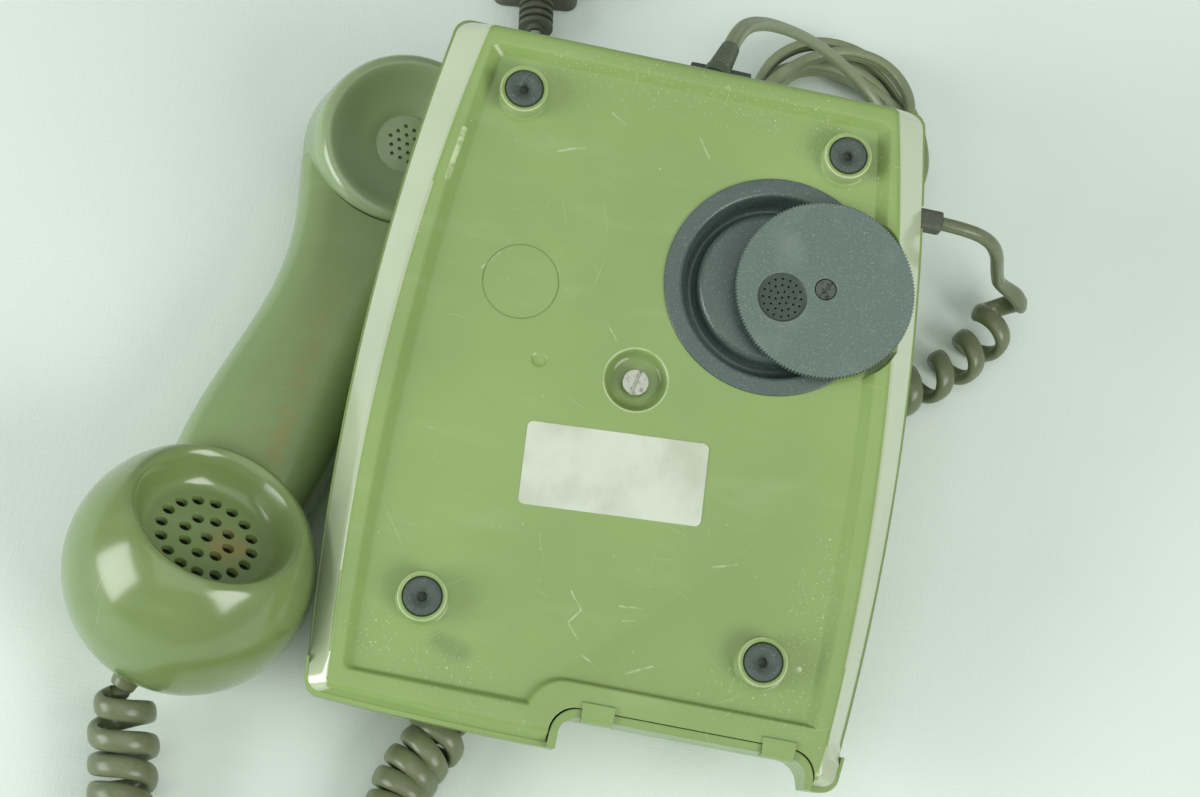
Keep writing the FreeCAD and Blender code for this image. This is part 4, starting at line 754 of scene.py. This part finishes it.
def curly_cord():
    """Round wire at first, then the same wire flat, wound round the route as a helix."""
    line = even(cord_line("curly_route", CURLY_LEAD + CURLY_COIL), CURLY_STEP)
    total = CURLY_STEP * (len(line) - 1)
    path = []
    outs = []
    openings = []
    frames = frames_along(line)
    _, across, up = frames[round(COIL_STARTS / CURLY_STEP)]
    phase = math.atan2(COIL_FIRST_WAY.dot(up), COIL_FIRST_WAY.dot(across))
    for i, (point, (_, across, up)) in enumerate(zip(line, frames)):
        along = CURLY_STEP * i
        opening = ease((along - COIL_STARTS) / COIL_OPENS)
        closing = ease((total - along) / COIL_CLOSES)
        unevenness = 1.0 + 0.03 * math.sin(along * 0.21) + 0.02 * math.sin(along * 0.57)
        radius = between(COIL_RADIUS, along) * opening * closing * unevenness
        wobble = 1.0 + 0.06 * math.sin(along * 0.075) + 0.04 * math.sin(along * 0.23)
        rate = ease((along - COIL_TURNS_FROM) / COIL_SPEEDS_UP) / (between(COIL_PITCH, along) * wobble)
        phase -= CURLY_STEP * 2 * math.pi * rate
        out = across * math.cos(phase) + up * math.sin(phase)
        path.append(point + out * radius)
        outs.append(out)
        openings.append(opening)
    loops = []
    for i, (point, out, opening) in enumerate(zip(path, outs, openings)):
        ahead = (path[min(i + 1, len(path) - 1)] - path[max(i - 1, 0)]).normalized()
        wide_way = ahead.cross(out).normalized()
        thick_way = wide_way.cross(ahead)
        wide = WIRE_ROUND + (WIRE_WIDE - WIRE_ROUND) * opening
        thick = WIRE_ROUND + (WIRE_THICK - WIRE_ROUND) * opening
        loops.append([point + wide_way * x + thick_way * y for x, y in oval(wide, thick)])
    obj = mesh_object("curly_cord", skin(loops), TABLE_FRAME, CORD_SHARP_FROM)
    dress(obj, CORD)
    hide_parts("curly_lead", "curly_coil")
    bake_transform(obj)


# Line cord, from the rear of the case down to its loose turns and on to the plug
LINE_WIDE = 5.2
LINE_THICK = 3.9
LINE_ROUTE = [
    (45.5, 104.4, 86.0),
    (47.5, 113.9, 83.5),
    (53.0, 123.9, 76.0),
    (62.0, 133.9, 63.5),
    (75.0, 142.4, 48.5),
    (88.0, 146.9, 34.0),
    (100.0, 145.9, 23.0),
    (110.0, 139.9, 15.5),
    (117.0, 130.9, 13.5),
]
TAIL_ROUTE = [
    (74.0, 102.4, 2.8),
    (50.0, 101.4, 2.8),
    (26.0, 102.9, 2.8),
    (6.0, 107.9, 2.8),
    (-8.0, 120.9, 2.8),
    (-13.0, 135.9, 4.5),
    (-15.0, 150.9, 8.0),
]
LINE_STEP = 1.5
HANK_AT = (92.0, 134.9)
HANK_STARTS = math.radians(-20.0)
TURN_POINTS = 14
POINTS_LEFT_OFF = 9
# Each turn's mean radius, how oval it is and which way, its height and how far its middle is moved
TURNS = [
    (26.5, 0.12, 20.0, 13.0, 2.5, -1.5),
    (31.0, 0.13, 60.0, 12.6, -3.0, 2.5),
    (33.2, 0.10, 125.0, 8.4, 2.5, 0.5),
    (27.5, 0.14, 165.0, 8.0, 3.5, -3.0),
    (24.5, 0.12, 35.0, 7.6, -3.5, 2.5),
    (34.2, 0.06, 80.0, 2.9, 1.0, 0.0),
    (29.0, 0.12, 10.0, 2.9, -2.5, 2.5),
]


def hank_points():
    """Loose turns of different sizes, wound clockwise from the top down."""
    points = []
    total = len(TURNS) * TURN_POINTS
    for index in range(total):
        turn = index / TURN_POINTS
        low = min(int(turn), len(TURNS) - 1)
        high = min(low + 1, len(TURNS) - 1)
        share = turn - low
        mixed = [a + (b - a) * share for a, b in zip(TURNS[low], TURNS[high])]
        radius, squash, lean, height, dx, dy = mixed
        angle = HANK_STARTS - turn * 2 * math.pi
        radius *= 1 + squash * math.cos(2 * (angle - math.radians(lean)))
        points.append((*around((HANK_AT[0] + dx, HANK_AT[1] + dy), radius, angle), height))
    return points[: total - POINTS_LEFT_OFF]


def ribbed_section(wide, thick, count=52):
    """A flat cord's section: three cores side by side, with a groove between each two."""
    section = []
    for x, y in oval(wide, thick, count, 0.72):
        near = min(abs(x - wide * 0.17), abs(x + wide * 0.17))
        dent = 0.5 * math.exp(-((near / (wide * 0.09)) ** 2)) if abs(y) > thick * 0.25 else 0.0
        section.append((x, y - math.copysign(dent, y)))
    return section


def line_cord():
    line = even(cord_line("line_route", LINE_ROUTE + hank_points() + TAIL_ROUTE), LINE_STEP)
    obj = tube("line_cord_run", line, ribbed_section(LINE_WIDE, LINE_THICK), LINE_SHEATH)
    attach(obj, "phone")
    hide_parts("line_cord", "line_hank", "line_tail")


curly_cord()
line_cord()


# Base: the tray of the underside. Each line of its plan is a rear, middle and front half-width
# with the places where they are measured, the bow of its front, its corner radius and its height
SEAM_W = -17.0
FOOT_GAP = 0.5
BAND_W = -4.0
FLOOR_W = -6.5
OUTLINE = ((73.5, 99.9), (82.0, -8.0), (77.0, -109.1), 2.0, 5.0)
LIP_INSIDE = ((74.2, 100.6), (81.9, -8.0), (76.8, -108.3), 2.0, 4.2)
FACET_TOP = ((63.2, 96.0), (75.2, -32.0), (71.4, -106.4), 1.2, 3.0)
BAND_INSIDE = ((61.6, 90.7), (70.0, -40.0), (67.7, -100.7), 0.4, 2.4)
FLOOR_EDGE = ((58.3, 88.0), (66.9, -40.0), (65.0, -99.7), 0.0, 1.8)
LIP_W = -8.5
LIP_STARTS_V = -95.0
LIP_RISES = 5.0
LEAST_CORNER_R = 0.8
SIDE_STEPS = 60
REAR_STEPS = 30
FRONT_STEPS = 40
CORNER_STEPS = 8


def circle_through(a, b, c):
    d = 2 * (a[0] * (b[1] - c[1]) + b[0] * (c[1] - a[1]) + c[0] * (a[1] - b[1]))
    sa = a[0] ** 2 + a[1] ** 2
    sb = b[0] ** 2 + b[1] ** 2
    sc = c[0] ** 2 + c[1] ** 2
    x = (sa * (b[1] - c[1]) + sb * (c[1] - a[1]) + sc * (a[1] - b[1])) / d
    y = (sa * (c[0] - b[0]) + sb * (a[0] - c[0]) + sc * (b[0] - a[0])) / d
    return Vector((x, y))


def bowed_edge(start, middle, end, count):
    """Points along an arc, or a straight line, with the directions that point out of it."""
    start = Vector(start)
    end = Vector(end)
    if middle is None:
        along = end - start
        out = Vector((along.y, -along.x)).normalized()
        return [(start + along * (i / count), out) for i in range(count + 1)]
    centre = circle_through(start, middle, end)
    first = math.atan2(start.y - centre.y, start.x - centre.x)
    sweep = (end - centre).angle_signed(start - centre)
    radius = (start - centre).length
    found = []
    for i in range(count + 1):
        angle = first + sweep * i / count
        out = Vector((math.cos(angle), math.sin(angle)))
        found.append((centre + out * radius, out))
    return found


def plan_loop(plan, level, inward=0.0):
    """One line of the tray's plan as a closed loop, moved inward if asked."""
    (rear_half, rear_v), (mid_half, mid_v), (front_half, front_v), bow, corner = plan
    corner = max(corner - inward, LEAST_CORNER_R)
    less = corner + inward
    rear_half -= less
    mid_half -= less
    front_half -= less
    rear_v -= less
    front_v += less
    middle = (0.0, front_v - bow) if bow else None
    edges = [
        bowed_edge((front_half, front_v), (mid_half, mid_v), (rear_half, rear_v), SIDE_STEPS),
        bowed_edge((rear_half, rear_v), None, (-rear_half, rear_v), REAR_STEPS),
        bowed_edge((-rear_half, rear_v), (-mid_half, mid_v), (-front_half, front_v), SIDE_STEPS),
        bowed_edge((-front_half, front_v), middle, (front_half, front_v), FRONT_STEPS),
    ]
    loop = []
    for index, edge in enumerate(edges):
        for point, out in edge:
            loop.append(Vector((point.x + out.x * corner, point.y + out.y * corner, level)))
        point, out = edge[-1]
        next_out = edges[(index + 1) % 4][0][1]
        first = math.atan2(out.y, out.x)
        sweep = (math.atan2(next_out.y, next_out.x) - first) % (2 * math.pi)
        for step in range(1, CORNER_STEPS):
            angle = first + sweep * step / CORNER_STEPS
            loop.append(Vector((*around(point, corner, angle), level)))
    return loop


def seam_loop(inward=0.0):
    """The foot of the sloping side, which rises to the cover's lip round the front."""
    low = plan_loop(OUTLINE, SEAM_W, inward)
    high = plan_loop(LIP_INSIDE, LIP_W, inward)
    return [a.lerp(b, ease((LIP_STARTS_V - a.y) / LIP_RISES)) for a, b in zip(low, high)]


NOTCH_LEFT = -7.2
NOTCH_RIGHT = 70.1
NOTCH_REAR = -99.4
NOTCH_R = 7.6
NOTCH_STEPS = 12
IN_FRONT_V = -140.0


def notch_loop(grow, level, right=None):
    """The finger notch's outline, open to the front, as a closed loop."""
    left = NOTCH_LEFT - grow
    right = NOTCH_RIGHT + grow if right is None else right
    rear = NOTCH_REAR + grow
    radius = NOTCH_R + min(grow, 3.0)
    loop = [(left, IN_FRONT_V, level), (right, IN_FRONT_V, level)]
    for centre_u, start in ((right - radius, 0.0), (left + radius, 90.0)):
        for step in range(NOTCH_STEPS + 1):
            angle = math.radians(start + 90.0 * step / NOTCH_STEPS)
            loop.append((*around((centre_u, rear - radius), radius, angle), level))
    return loop


# How thick the tray is, and where the raised step in front ends, beyond the tray
TRAY_THICK = 2.5
RAISED_RIGHT = 90.0


def base_tray():
    foot = seam_loop()
    for point in foot:
        point.z += FOOT_GAP
    columns = zip(
        foot,
        plan_loop(FACET_TOP, BAND_W),
        plan_loop(BAND_INSIDE, BAND_W),
        plan_loop(FLOOR_EDGE, FLOOR_W),
        plan_loop(FLOOR_EDGE, FLOOR_W, 5.0),
    )
    lines = [rounded(column, [1.8, 0.8, 0.6], 5) for column in columns]
    top = [list(loop) for loop in zip(*lines)]
    under = [
        plan_loop(FLOOR_EDGE, FLOOR_W - TRAY_THICK, 3.0),
        plan_loop(FACET_TOP, FLOOR_W - TRAY_THICK, 2.0),
        seam_loop(TRAY_THICK),
        seam_loop(1.2),
    ]
    tray = mesh_object("base_tray", skin(under + top))
    step = [(9.6, FLOOR_W - 0.3), (7.8, FLOOR_W), (7.0, BAND_W), (4.0, BAND_W), (0.5, BAND_W)]
    # The step's top lies a little under the band, so that the two don't share a face
    loops = [notch_loop(grow, level - 0.004, RAISED_RIGHT) for grow, level in rounded(step, [0.6, 0.7, 0.5])]
    raised = mesh_object("raised", skin(loops))
    keep = mesh_object("keep", skin([plan_loop(FACET_TOP, w, 0.7) for w in (FLOOR_W - 1.0, BAND_W + 1.0)]))
    boolean(raised, keep, "INTERSECT")
    boolean(tray, raised, "UNION")
    cut = rounded([(0.0, -30.0), (0.0, BAND_W - 0.4), (0.0, BAND_W), (2.4, BAND_W + 2.0)], [0.1, 0.9])
    boolean(tray, mesh_object("notch", skin([notch_loop(grow, level) for grow, level in cut])))
    return tray


def turned(name, profile, centre, segments=96):
    return mesh_object(name, lathe(profile, segments, centre))


def drill(target, at, radius, low, high, segments, core=0.0):
    """Cuts a round hole with straight walls."""
    profile = [(core, low), (radius, low), (radius, high), (core, high)]
    boolean(target, turned("drill", profile, at, segments))


def is_facet(centre):
    """Whether a place of the tray lies on its sloping sides."""
    rear, middle, front, _, _ = FACET_TOP
    arc = circle_through(rear, middle, front)
    radius = (Vector(rear) - arc).length
    edge = arc.x + math.sqrt(max(0.0, radius ** 2 - (centre.y - arc.y) ** 2))
    return abs(centre.x) > edge - 0.3 and centre.z < BAND_W - 0.05


# Profiles of what is cut into the floor, and of a foot's boss
SHANK_AT = (-0.6, -3.0)
SHANK_R = 2.3
MOUTH_R = 29.9
DISH = (
    (0.0, FLOOR_W - 2.4),
    (7.2, FLOOR_W - 2.3),
    (8.9, FLOOR_W - 0.5),
    (9.3, FLOOR_W),
    (10.6, FLOOR_W + 1.0),
)
SCOOP = ((0.0, FLOOR_W), (28.2, FLOOR_W), (28.2, BAND_W - 0.5), (29.4, BAND_W + 1.0), (0.0, BAND_W + 1.0))
CIRCLE = ((10.95, FLOOR_W + 0.4), (11.1, FLOOR_W - 0.2), (11.3, FLOOR_W - 0.2), (11.5, FLOOR_W + 0.4))
DIMPLE = (
    (0.0, FLOOR_W - 0.5),
    (1.4, FLOOR_W - 0.45),
    (2.3, FLOOR_W - 0.1),
    (2.8, FLOOR_W + 0.4),
    (0.0, FLOOR_W + 0.4),
)
BOSS = ((7.9, FLOOR_W - 0.2), (7.25, FLOOR_W + 0.3), (7.2, -0.6), (5.75, -0.8), (5.7, -6.0))


def base_moulding():
    tray = base_tray()
    dish = rounded(DISH, [1.6, 0.3, 0.3]) + [(0.0, DISH[-1][1])]
    boolean(tray, turned("dish", dish, SCREW_AT))
    drill(tray, SHANK_AT, SHANK_R, -20.0, 0.0, 48)
    drill(tray, SOUNDER_AT, MOUTH_R, -30.0, 0.0, 160)
    boolean(tray, turned("scoop", rounded(SCOOP, [0.1, 0.5, 0.1]), DISC_AT, 160))
    boolean(tray, ring_solid("ring", rounded(CIRCLE, [0.05, 0.05]), CIRCLE_AT))
    boolean(tray, turned("dimple", rounded(DIMPLE, [0.5, 0.5, 0.1]), DIMPLE_AT, 48))
    dress(tray, TRAY, FACET_SHEEN)
    # The sloping sides take the paler facet material, a painted reflection
    for polygon in tray.data.polygons:
        polygon.material_index = 1 if is_facet(polygon.center) else 0
    tray.data.transform(BASE_FRAME)
    shade(tray, 32.0)
    pieces = [tray]
    for centre in FEET_AT:
        verts, faces = lathe(rounded(BOSS, [0.6, 0.7, 0.5]), 72, centre)
        pieces.append(mesh_object("boss", (verts, faces[:-2]), BASE_FRAME))
    for middle, half in CLIPS_AT:
        pieces.append(clip(middle, half))
    base = join("base_shell", pieces)
    dress(base, TRAY, FACET_SHEEN)
    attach(base, "phone")
    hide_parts("base_moulding")


def ring_solid(name, profile, centre):
    """A closed ring: the profile turned about a vertical axis, with no ends to cap."""
    segments = 96
    count = len(profile)
    verts = []
    faces = []
    for i in range(segments):
        angle = 2 * math.pi * i / segments
        verts += [(*around(centre, radius, angle), height) for radius, height in profile]
    for i in range(segments):
        a = i * count
        b = (i + 1) % segments * count
        for j in range(count):
            k = (j + 1) % count
            faces.append((a + j, b + j, b + k, a + k))
    return mesh_object(name, (verts, faces))


# Hook clips: where the middle of each is, and half its width
CLIPS_AT = ((5.9, 4.8), (58.4, 4.9))
CLIP_STARTS_V = -97.5
CLIP_NARROWS_OVER = 5.0
CLIP_HALF_THICK = 0.45


def clip(middle, half):
    """A hook of the base, bent over the cover's wall in the finger notch."""
    loops = []
    for v, w in rounded([(CLIP_STARTS_V, -3.75), (-102.55, -3.75), (-102.65, -9.4)], [0.9]):
        share = min(1.0, max(0.0, (CLIP_STARTS_V - v) / CLIP_NARROWS_OVER))
        narrow = half - 0.25 * share
        down = (0.0, CLIP_HALF_THICK) if w > -4.4 else (CLIP_HALF_THICK, 0.0)
        loops.append([
            (middle - narrow, v - down[0], w + down[1]),
            (middle + narrow, v - down[0], w + down[1]),
            (middle + narrow, v + down[0], w - down[1]),
            (middle - narrow, v + down[0], w - down[1]),
        ])
    return mesh_object("clip", skin(loops), BASE_FRAME)


base_moulding()


# Sounder cup, volume disc and feet
FLANGE_R = 33.3


def sounder_cup():
    profile = [
        (0.2, -17.0),
        (24.0, -17.0),
        (29.4, -10.0),
        (29.4, FLOOR_W - 0.4),
        (FLANGE_R, FLOOR_W + 0.02),
        (FLANGE_R - 0.1, FLOOR_W + 0.75),
        (28.6, FLOOR_W + 0.8),
        (27.9, FLOOR_W + 0.3),
        (27.4, -9.5),
        (26.2, -13.0),
        (24.6, -13.6),
        (23.2, -12.0),
        (22.9, -8.4),
        (21.6, -7.4),
        (10.0, -7.3),
        (0.2, -7.3),
    ]
    radii = [0.3, 0.5, 0.05, 0.05, 0.3, 0.5, 0.5, 1.5, 1.2, 0.8, 1.0, 1.2, 0.5, 1.0]
    obj = mesh_object("sounder_cup", lathe(rounded(profile, radii), 128, SOUNDER_AT), BASE_FRAME)
    standing_for(obj, SOUNDER, "phone", "sounder_housing")


DISC_R = 26.9
DISC_TOP = -1.0
DISC_TEETH = 160
SEAT_R = 3.3
PORT_AT = (37.2, 29.9)
PORT_R = 7.4
PORT_HOLE_R = 0.34
PORT_RINGS = ((0.0, 1), (1.95, 6), (3.85, 12), (5.75, 16))
# The disc's rim from below: radius, height and how deep the gaps between its teeth are
DISC_RIM = (
    (DISC_R - 0.35, DISC_TOP - 2.2, 0.0),
    (DISC_R, DISC_TOP - 2.0, 0.45),
    (DISC_R, DISC_TOP - 0.25, 0.45),
    (DISC_R - 0.35, DISC_TOP, 0.2),
)
PORT = (
    (0.0, DISC_TOP - 0.75),
    (PORT_R - 0.5, DISC_TOP - 0.7),
    (PORT_R, DISC_TOP - 0.2),
    (PORT_R + 0.2, 0.5),
    (0.0, 0.5),
)


def knurled_loop(radius, level, depth):
    """A circle with small square teeth round it."""
    loop = []
    for i in range(DISC_TEETH * 4):
        r = radius - (depth if i % 4 in (0, 1) else 0.0)
        loop.append((*around(DISC_AT, r, 2 * math.pi * i / (DISC_TEETH * 4)), level))
    return loop


def volume_disc():
    disc = mesh_object("volume_disc_knurled", skin([knurled_loop(*rim) for rim in DISC_RIM]))
    boolean(disc, turned("port", PORT, PORT_AT))
    drill(disc, DISC_AT, SEAT_R, -5.0, 0.5, 64)
    for at in ring_places(PORT_RINGS, 0.3, PORT_AT):
        drill(disc, at, PORT_HOLE_R, -6.0, 0.5, 12)
    dress(disc, BLACK, PORT_SHADE)
    # The faces down in the port take the darker copy: painted shade in the recess
    for polygon in disc.data.polygons:
        away = math.dist(polygon.center[:2], PORT_AT)
        polygon.material_index = 1 if away < PORT_R and polygon.center.z < DISC_TOP - 0.1 else 0
    disc.data.transform(BASE_FRAME)
    shade(disc, 30.0)
    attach(disc, "volume_disc")
    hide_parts("volume_disc")


FOOT = ((5.5, -7.4), (5.6, -1.4), (5.3, -0.2), (3.6, 0.0), (2.4, -0.7), (1.4, -1.6), (1.1, -3.4))


def feet():
    profile = rounded(FOOT, [0.3, 0.7, 0.8, 0.8, 0.5]) + [(0.02, -3.5)]
    rubbers = [mesh_object("rubber", lathe(profile, 72, centre), BASE_FRAME) for centre in FEET_AT]
    joined = join("foot_rubbers", rubbers)
    dress(joined, RUBBER)
    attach(joined, "phone")
    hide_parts("rubber_feet")


sounder_cup()
volume_disc()
feet()


# Small pieces where the cords enter
def aimed(at, way):
    """A frame in millimetres that stands at a place with its height along a direction."""
    turn = Vector(way).to_track_quat("Z", "Y").to_matrix().to_4x4()
    return Matrix.Scale(MM, 4) @ Matrix.Translation(at) @ turn


def ribbed_sleeve(root, tip, length, ribs):
    """The profile of a tapered strain relief with round ribs."""
    profile = [(0.1, -3.0), (root + 0.4, -3.0), (root + 0.4, 0.4), (root, 0.8)]
    for i in range(ribs):
        start = 1.2 + (length - 1.2) * i / ribs
        pitch = (length - 1.2) / ribs
        radius = root + (tip - root) * i / max(1, ribs - 1)
        profile += [(radius - 0.5, start), (radius, start + pitch * 0.3), (radius, start + pitch * 0.7)]
    profile += [(tip - 0.4, length), (0.1, length)]
    return profile


LINE_RELIEF_ROOT = Vector((42.7, 93.9, 88.4))
LINE_RELIEF_RIBS = 8
PLATE_AT = (44.0, 96.9, 84.4)
# How far along the plate each of its sections is, and how full it is there
PLATE_SECTIONS = ((-9.5, 0.6), (-9.2, 0.95), (-3.0, 1.0), (3.0, 1.0), (9.2, 0.95), (9.5, 0.6))
BOOT_WAY = Vector((-0.323, -0.840, -0.433))
BOOT_FROM_BALL = 35.6
BOOT = ((0.1, -3.0), (4.6, -3.0), (4.6, 0.6), (4.1, 1.3), (3.6, 4.0), (0.1, 4.2))
BLOCK_AT = (68.0, -19.9)
BLOCK_SECTIONS = ((70.0, 1.0), (83.4, 1.0), (83.9, 0.97), (84.15, 0.9))


def line_relief():
    """A tapered sleeve from the rear wall to the cord's exit, with a low plate on the wall."""
    way = Vector(LINE_ROUTE[0]) - LINE_RELIEF_ROOT
    profile = ribbed_sleeve(3.7, 3.0, way.length + 1.2, LINE_RELIEF_RIBS)
    turned_sleeve = lathe(rounded(profile, [0.3] * (len(profile) - 2), 3), 40)
    sleeve = mesh_object("sleeve", turned_sleeve, aimed(LINE_RELIEF_ROOT, way))
    loops = []
    x, y, z = PLATE_AT
    for along, size in PLATE_SECTIONS:
        loops.append([(x + along, y + a * size, z + b * size) for a, b in oval(1.8, 2.8, 20, 0.5)])
    obj = join("line_relief", [sleeve, mesh_object("plate", skin(loops), TABLE_FRAME)])
    standing_for(obj, SLEEVE, "phone", "line_gland")


def handset_boot():
    """The collar on the mouthpiece's ball where the curly cord goes in."""
    at = Vector((*BALL_AT[:2], BALL_Z)) + BOOT_WAY * BOOT_FROM_BALL
    profile = rounded(BOOT, [0.2, 0.6, 0.5, 0.5], 4)
    obj = mesh_object("handset_boot", lathe(profile, 40), aimed(at, BOOT_WAY))
    standing_for(obj, CORD, "handset", "handset_relief")


def cord_block():
    """The block where the curly cord leaves the case's side."""
    v, w = BLOCK_AT
    loops = []
    for u, size in BLOCK_SECTIONS:
        loops.append([(u, v + a * size, w + b * size) for a, b in oval(6.6, 5.9, 32, 0.4)])
    obj = mesh_object("cord_block", skin(loops), BASE_FRAME, 40.0)
    standing_for(obj, RELIEF, "phone", "handset_gland")


line_relief()
handset_boot()
cord_block()


# Mouthpiece and earpiece caps of the handset
CAP_SPLIT_Z = 27.0
SCOOP_TILT = math.radians(27.0)
SCOOP_TURN = math.radians(22.0)
BALL_ENDS = math.radians(132.0)
BALL_STEPS = 32
# The ball's lip and the bottom of its scoop, and the hollow inside it
MOUTH_LIP = [(26.0, 25.2), (25.0, 25.5), (24.0, 25.0), (23.0, 23.4), (21.9, 20.8), (20.5, 17.7)]
MOUTH_SCOOP = [(19.3, 15.8), (18.3, 15.1), (17.0, 15.0), (0.1, 15.0)]
BALL_HOLLOW = (
    (0.1, -33.8),
    (20.0, -27.5),
    (30.0, -15.8),
    (33.9, 0.0),
    (30.5, 14.5),
    (24.6, 22.6),
    (20.0, 13.4),
    (17.5, 12.7),
    (0.1, 12.6),
)
MOUTH_RINGS = ((0.0, 1), (6.9, 8), (13.6, 16))
MOUTH_HOLE = ((0.02, 10.0), (1.75, 10.0), (1.75, 14.75), (1.95, 15.3), (0.02, 15.3))
EAR_AT = (-1.2, 159.5, 41.7)
EAR_TURN = math.radians(10.0)
EAR_WALL = [(0.1, -13.5), (29.0, -13.5), (30.0, -9.5), (29.8, -6.6)]
EAR_CREST = [(29.4, -5.0), (29.15, -3.6), (28.4, -1.7), (27.2, -0.45), (25.9, 0.0), (24.6, -0.35)]
EAR_DISH = [(22.9, -1.6), (20.8, -3.3), (17.5, -5.3), (13.8, -6.6), (10.6, -7.15)]
EAR_GROOVE = [(10.2, -7.45), (9.9, -7.45), (9.6, -7.05), (0.1, -7.0)]
# The perforated disc: how far apart the holes and their rows are, and how far out they reach
EAR_HOLE_R = 0.62
EAR_HOLES_APART = 3.0
EAR_ROWS_APART = 2.6
EAR_HOLES_WITHIN = 7.2


def mouthpiece():
    tilt = Matrix.Rotation(-SCOOP_TURN, 4, "Z") @ Matrix.Rotation(-SCOOP_TILT, 4, "X")
    stand = Matrix.Translation((0.0, 0.0, BALL_Z)) @ tilt
    ball = []
    for step in range(BALL_STEPS + 1):
        angle = BALL_ENDS * step / BALL_STEPS
        ball.append((BALL_R * math.sin(angle), -BALL_R * math.cos(angle)))
    ball[0] = (0.1, -BALL_R)
    cap = mesh_object("mouthpiece", lathe(ball + MOUTH_LIP + MOUTH_SCOOP, 160), stand)
    boolean(cap, mesh_object("inside", lathe(rounded(BALL_HOLLOW, [4.0] * 7)), stand))
    square = ((-60, -60), (60, -60), (60, 60), (-60, 60))
    above = skin([[(x, y, z) for x, y in square] for z in (CAP_SPLIT_Z, 90.0)])
    boolean(cap, mesh_object("above", above), "INTERSECT")
    for at in ring_places(MOUTH_RINGS, 0.5):
        boolean(cap, mesh_object("hole", lathe(MOUTH_HOLE, 24, at), stand))
    cap.data.transform(HANDSET_FRAME)
    shade(cap)
    standing_for(cap, MOUTH_GREEN, "handset", "transmitter_cap")


def earpiece():
    turn = Matrix.Rotation(EAR_TURN, 4, "Y") @ Matrix.Rotation(EAR_TURN, 4, "X")
    stand = HANDSET_FRAME @ Matrix.Translation(EAR_AT) @ turn
    cap = mesh_object("earpiece", lathe(EAR_WALL + EAR_CREST + EAR_DISH + EAR_GROOVE, 128))
    for row in range(-2, 3):
        for k in range(-2, 3):
            x = (k + (row % 2) * 0.5) * EAR_HOLES_APART
            y = row * EAR_ROWS_APART
            if x * x + y * y < EAR_HOLES_WITHIN ** 2:
                drill(cap, (x, y), EAR_HOLE_R, -8.6, -6.0, 14, core=0.02)
    cap.data.transform(stand)
    shade(cap)
    standing_for(cap, EAR_GREEN_LIT, "handset", "receiver_cap")


mouthpiece()
earpiece()


# Light, floor and background
def area_light(name, at, towards, size, power, tint):
    data = bpy.data.lights.new(name, "AREA")
    data.shape = "RECTANGLE"
    data.size = size[0]
    data.size_y = size[1]
    data.energy = power
    data.color = tint
    light = bpy.data.objects.new(name, data)
    back = Vector(at) - Vector(towards)
    light.rotation_euler = back.to_track_quat("Z", "Y").to_euler()
    light.location = at
    scene.collection.objects.link(light)


FLOOR_HALF = 6
FLOOR_Z = -0.0004
SKY = (0.94, 1.0, 0.97, 1.0)
SKY_STRENGTH = 0.34
# Each lamp's name, place, aim, size, power in watts and tint
LAMPS = (
    ("overhead", (0.0, -0.55, 2.1), (0.0, -0.1, 0.0), (2.1, 2.1), 12.0, (0.98, 1.0, 0.98)),
    ("window_left", (-1.45, -0.62, 0.63), (0.0, 0.0, 0.03), (1.0, 1.0), 19.0, (0.97, 1.0, 0.99)),
    ("window_right", (1.11, -0.80, 1.01), (0.0, 0.0, 0.03), (0.9, 0.8), 14.0, (1.0, 1.0, 0.98)),
)


def studio():
    corners = ((-1, -1), (1, -1), (1, 1), (-1, 1))
    verts = [(x * FLOOR_HALF, y * FLOOR_HALF, FLOOR_Z) for x, y in corners]
    floor = mesh_object("floor", (verts, [(0, 1, 2, 3)]))
    dress(floor, CLOTH)
    world = bpy.data.worlds.new("world")
    world.use_nodes = True
    background = world.node_tree.nodes["Background"]
    background.inputs["Color"].default_value = SKY
    background.inputs["Strength"].default_value = SKY_STRENGTH
    scene.world = world
    for lamp in LAMPS:
        area_light(*lamp)
    scene.view_settings.view_transform = "Standard"


studio()
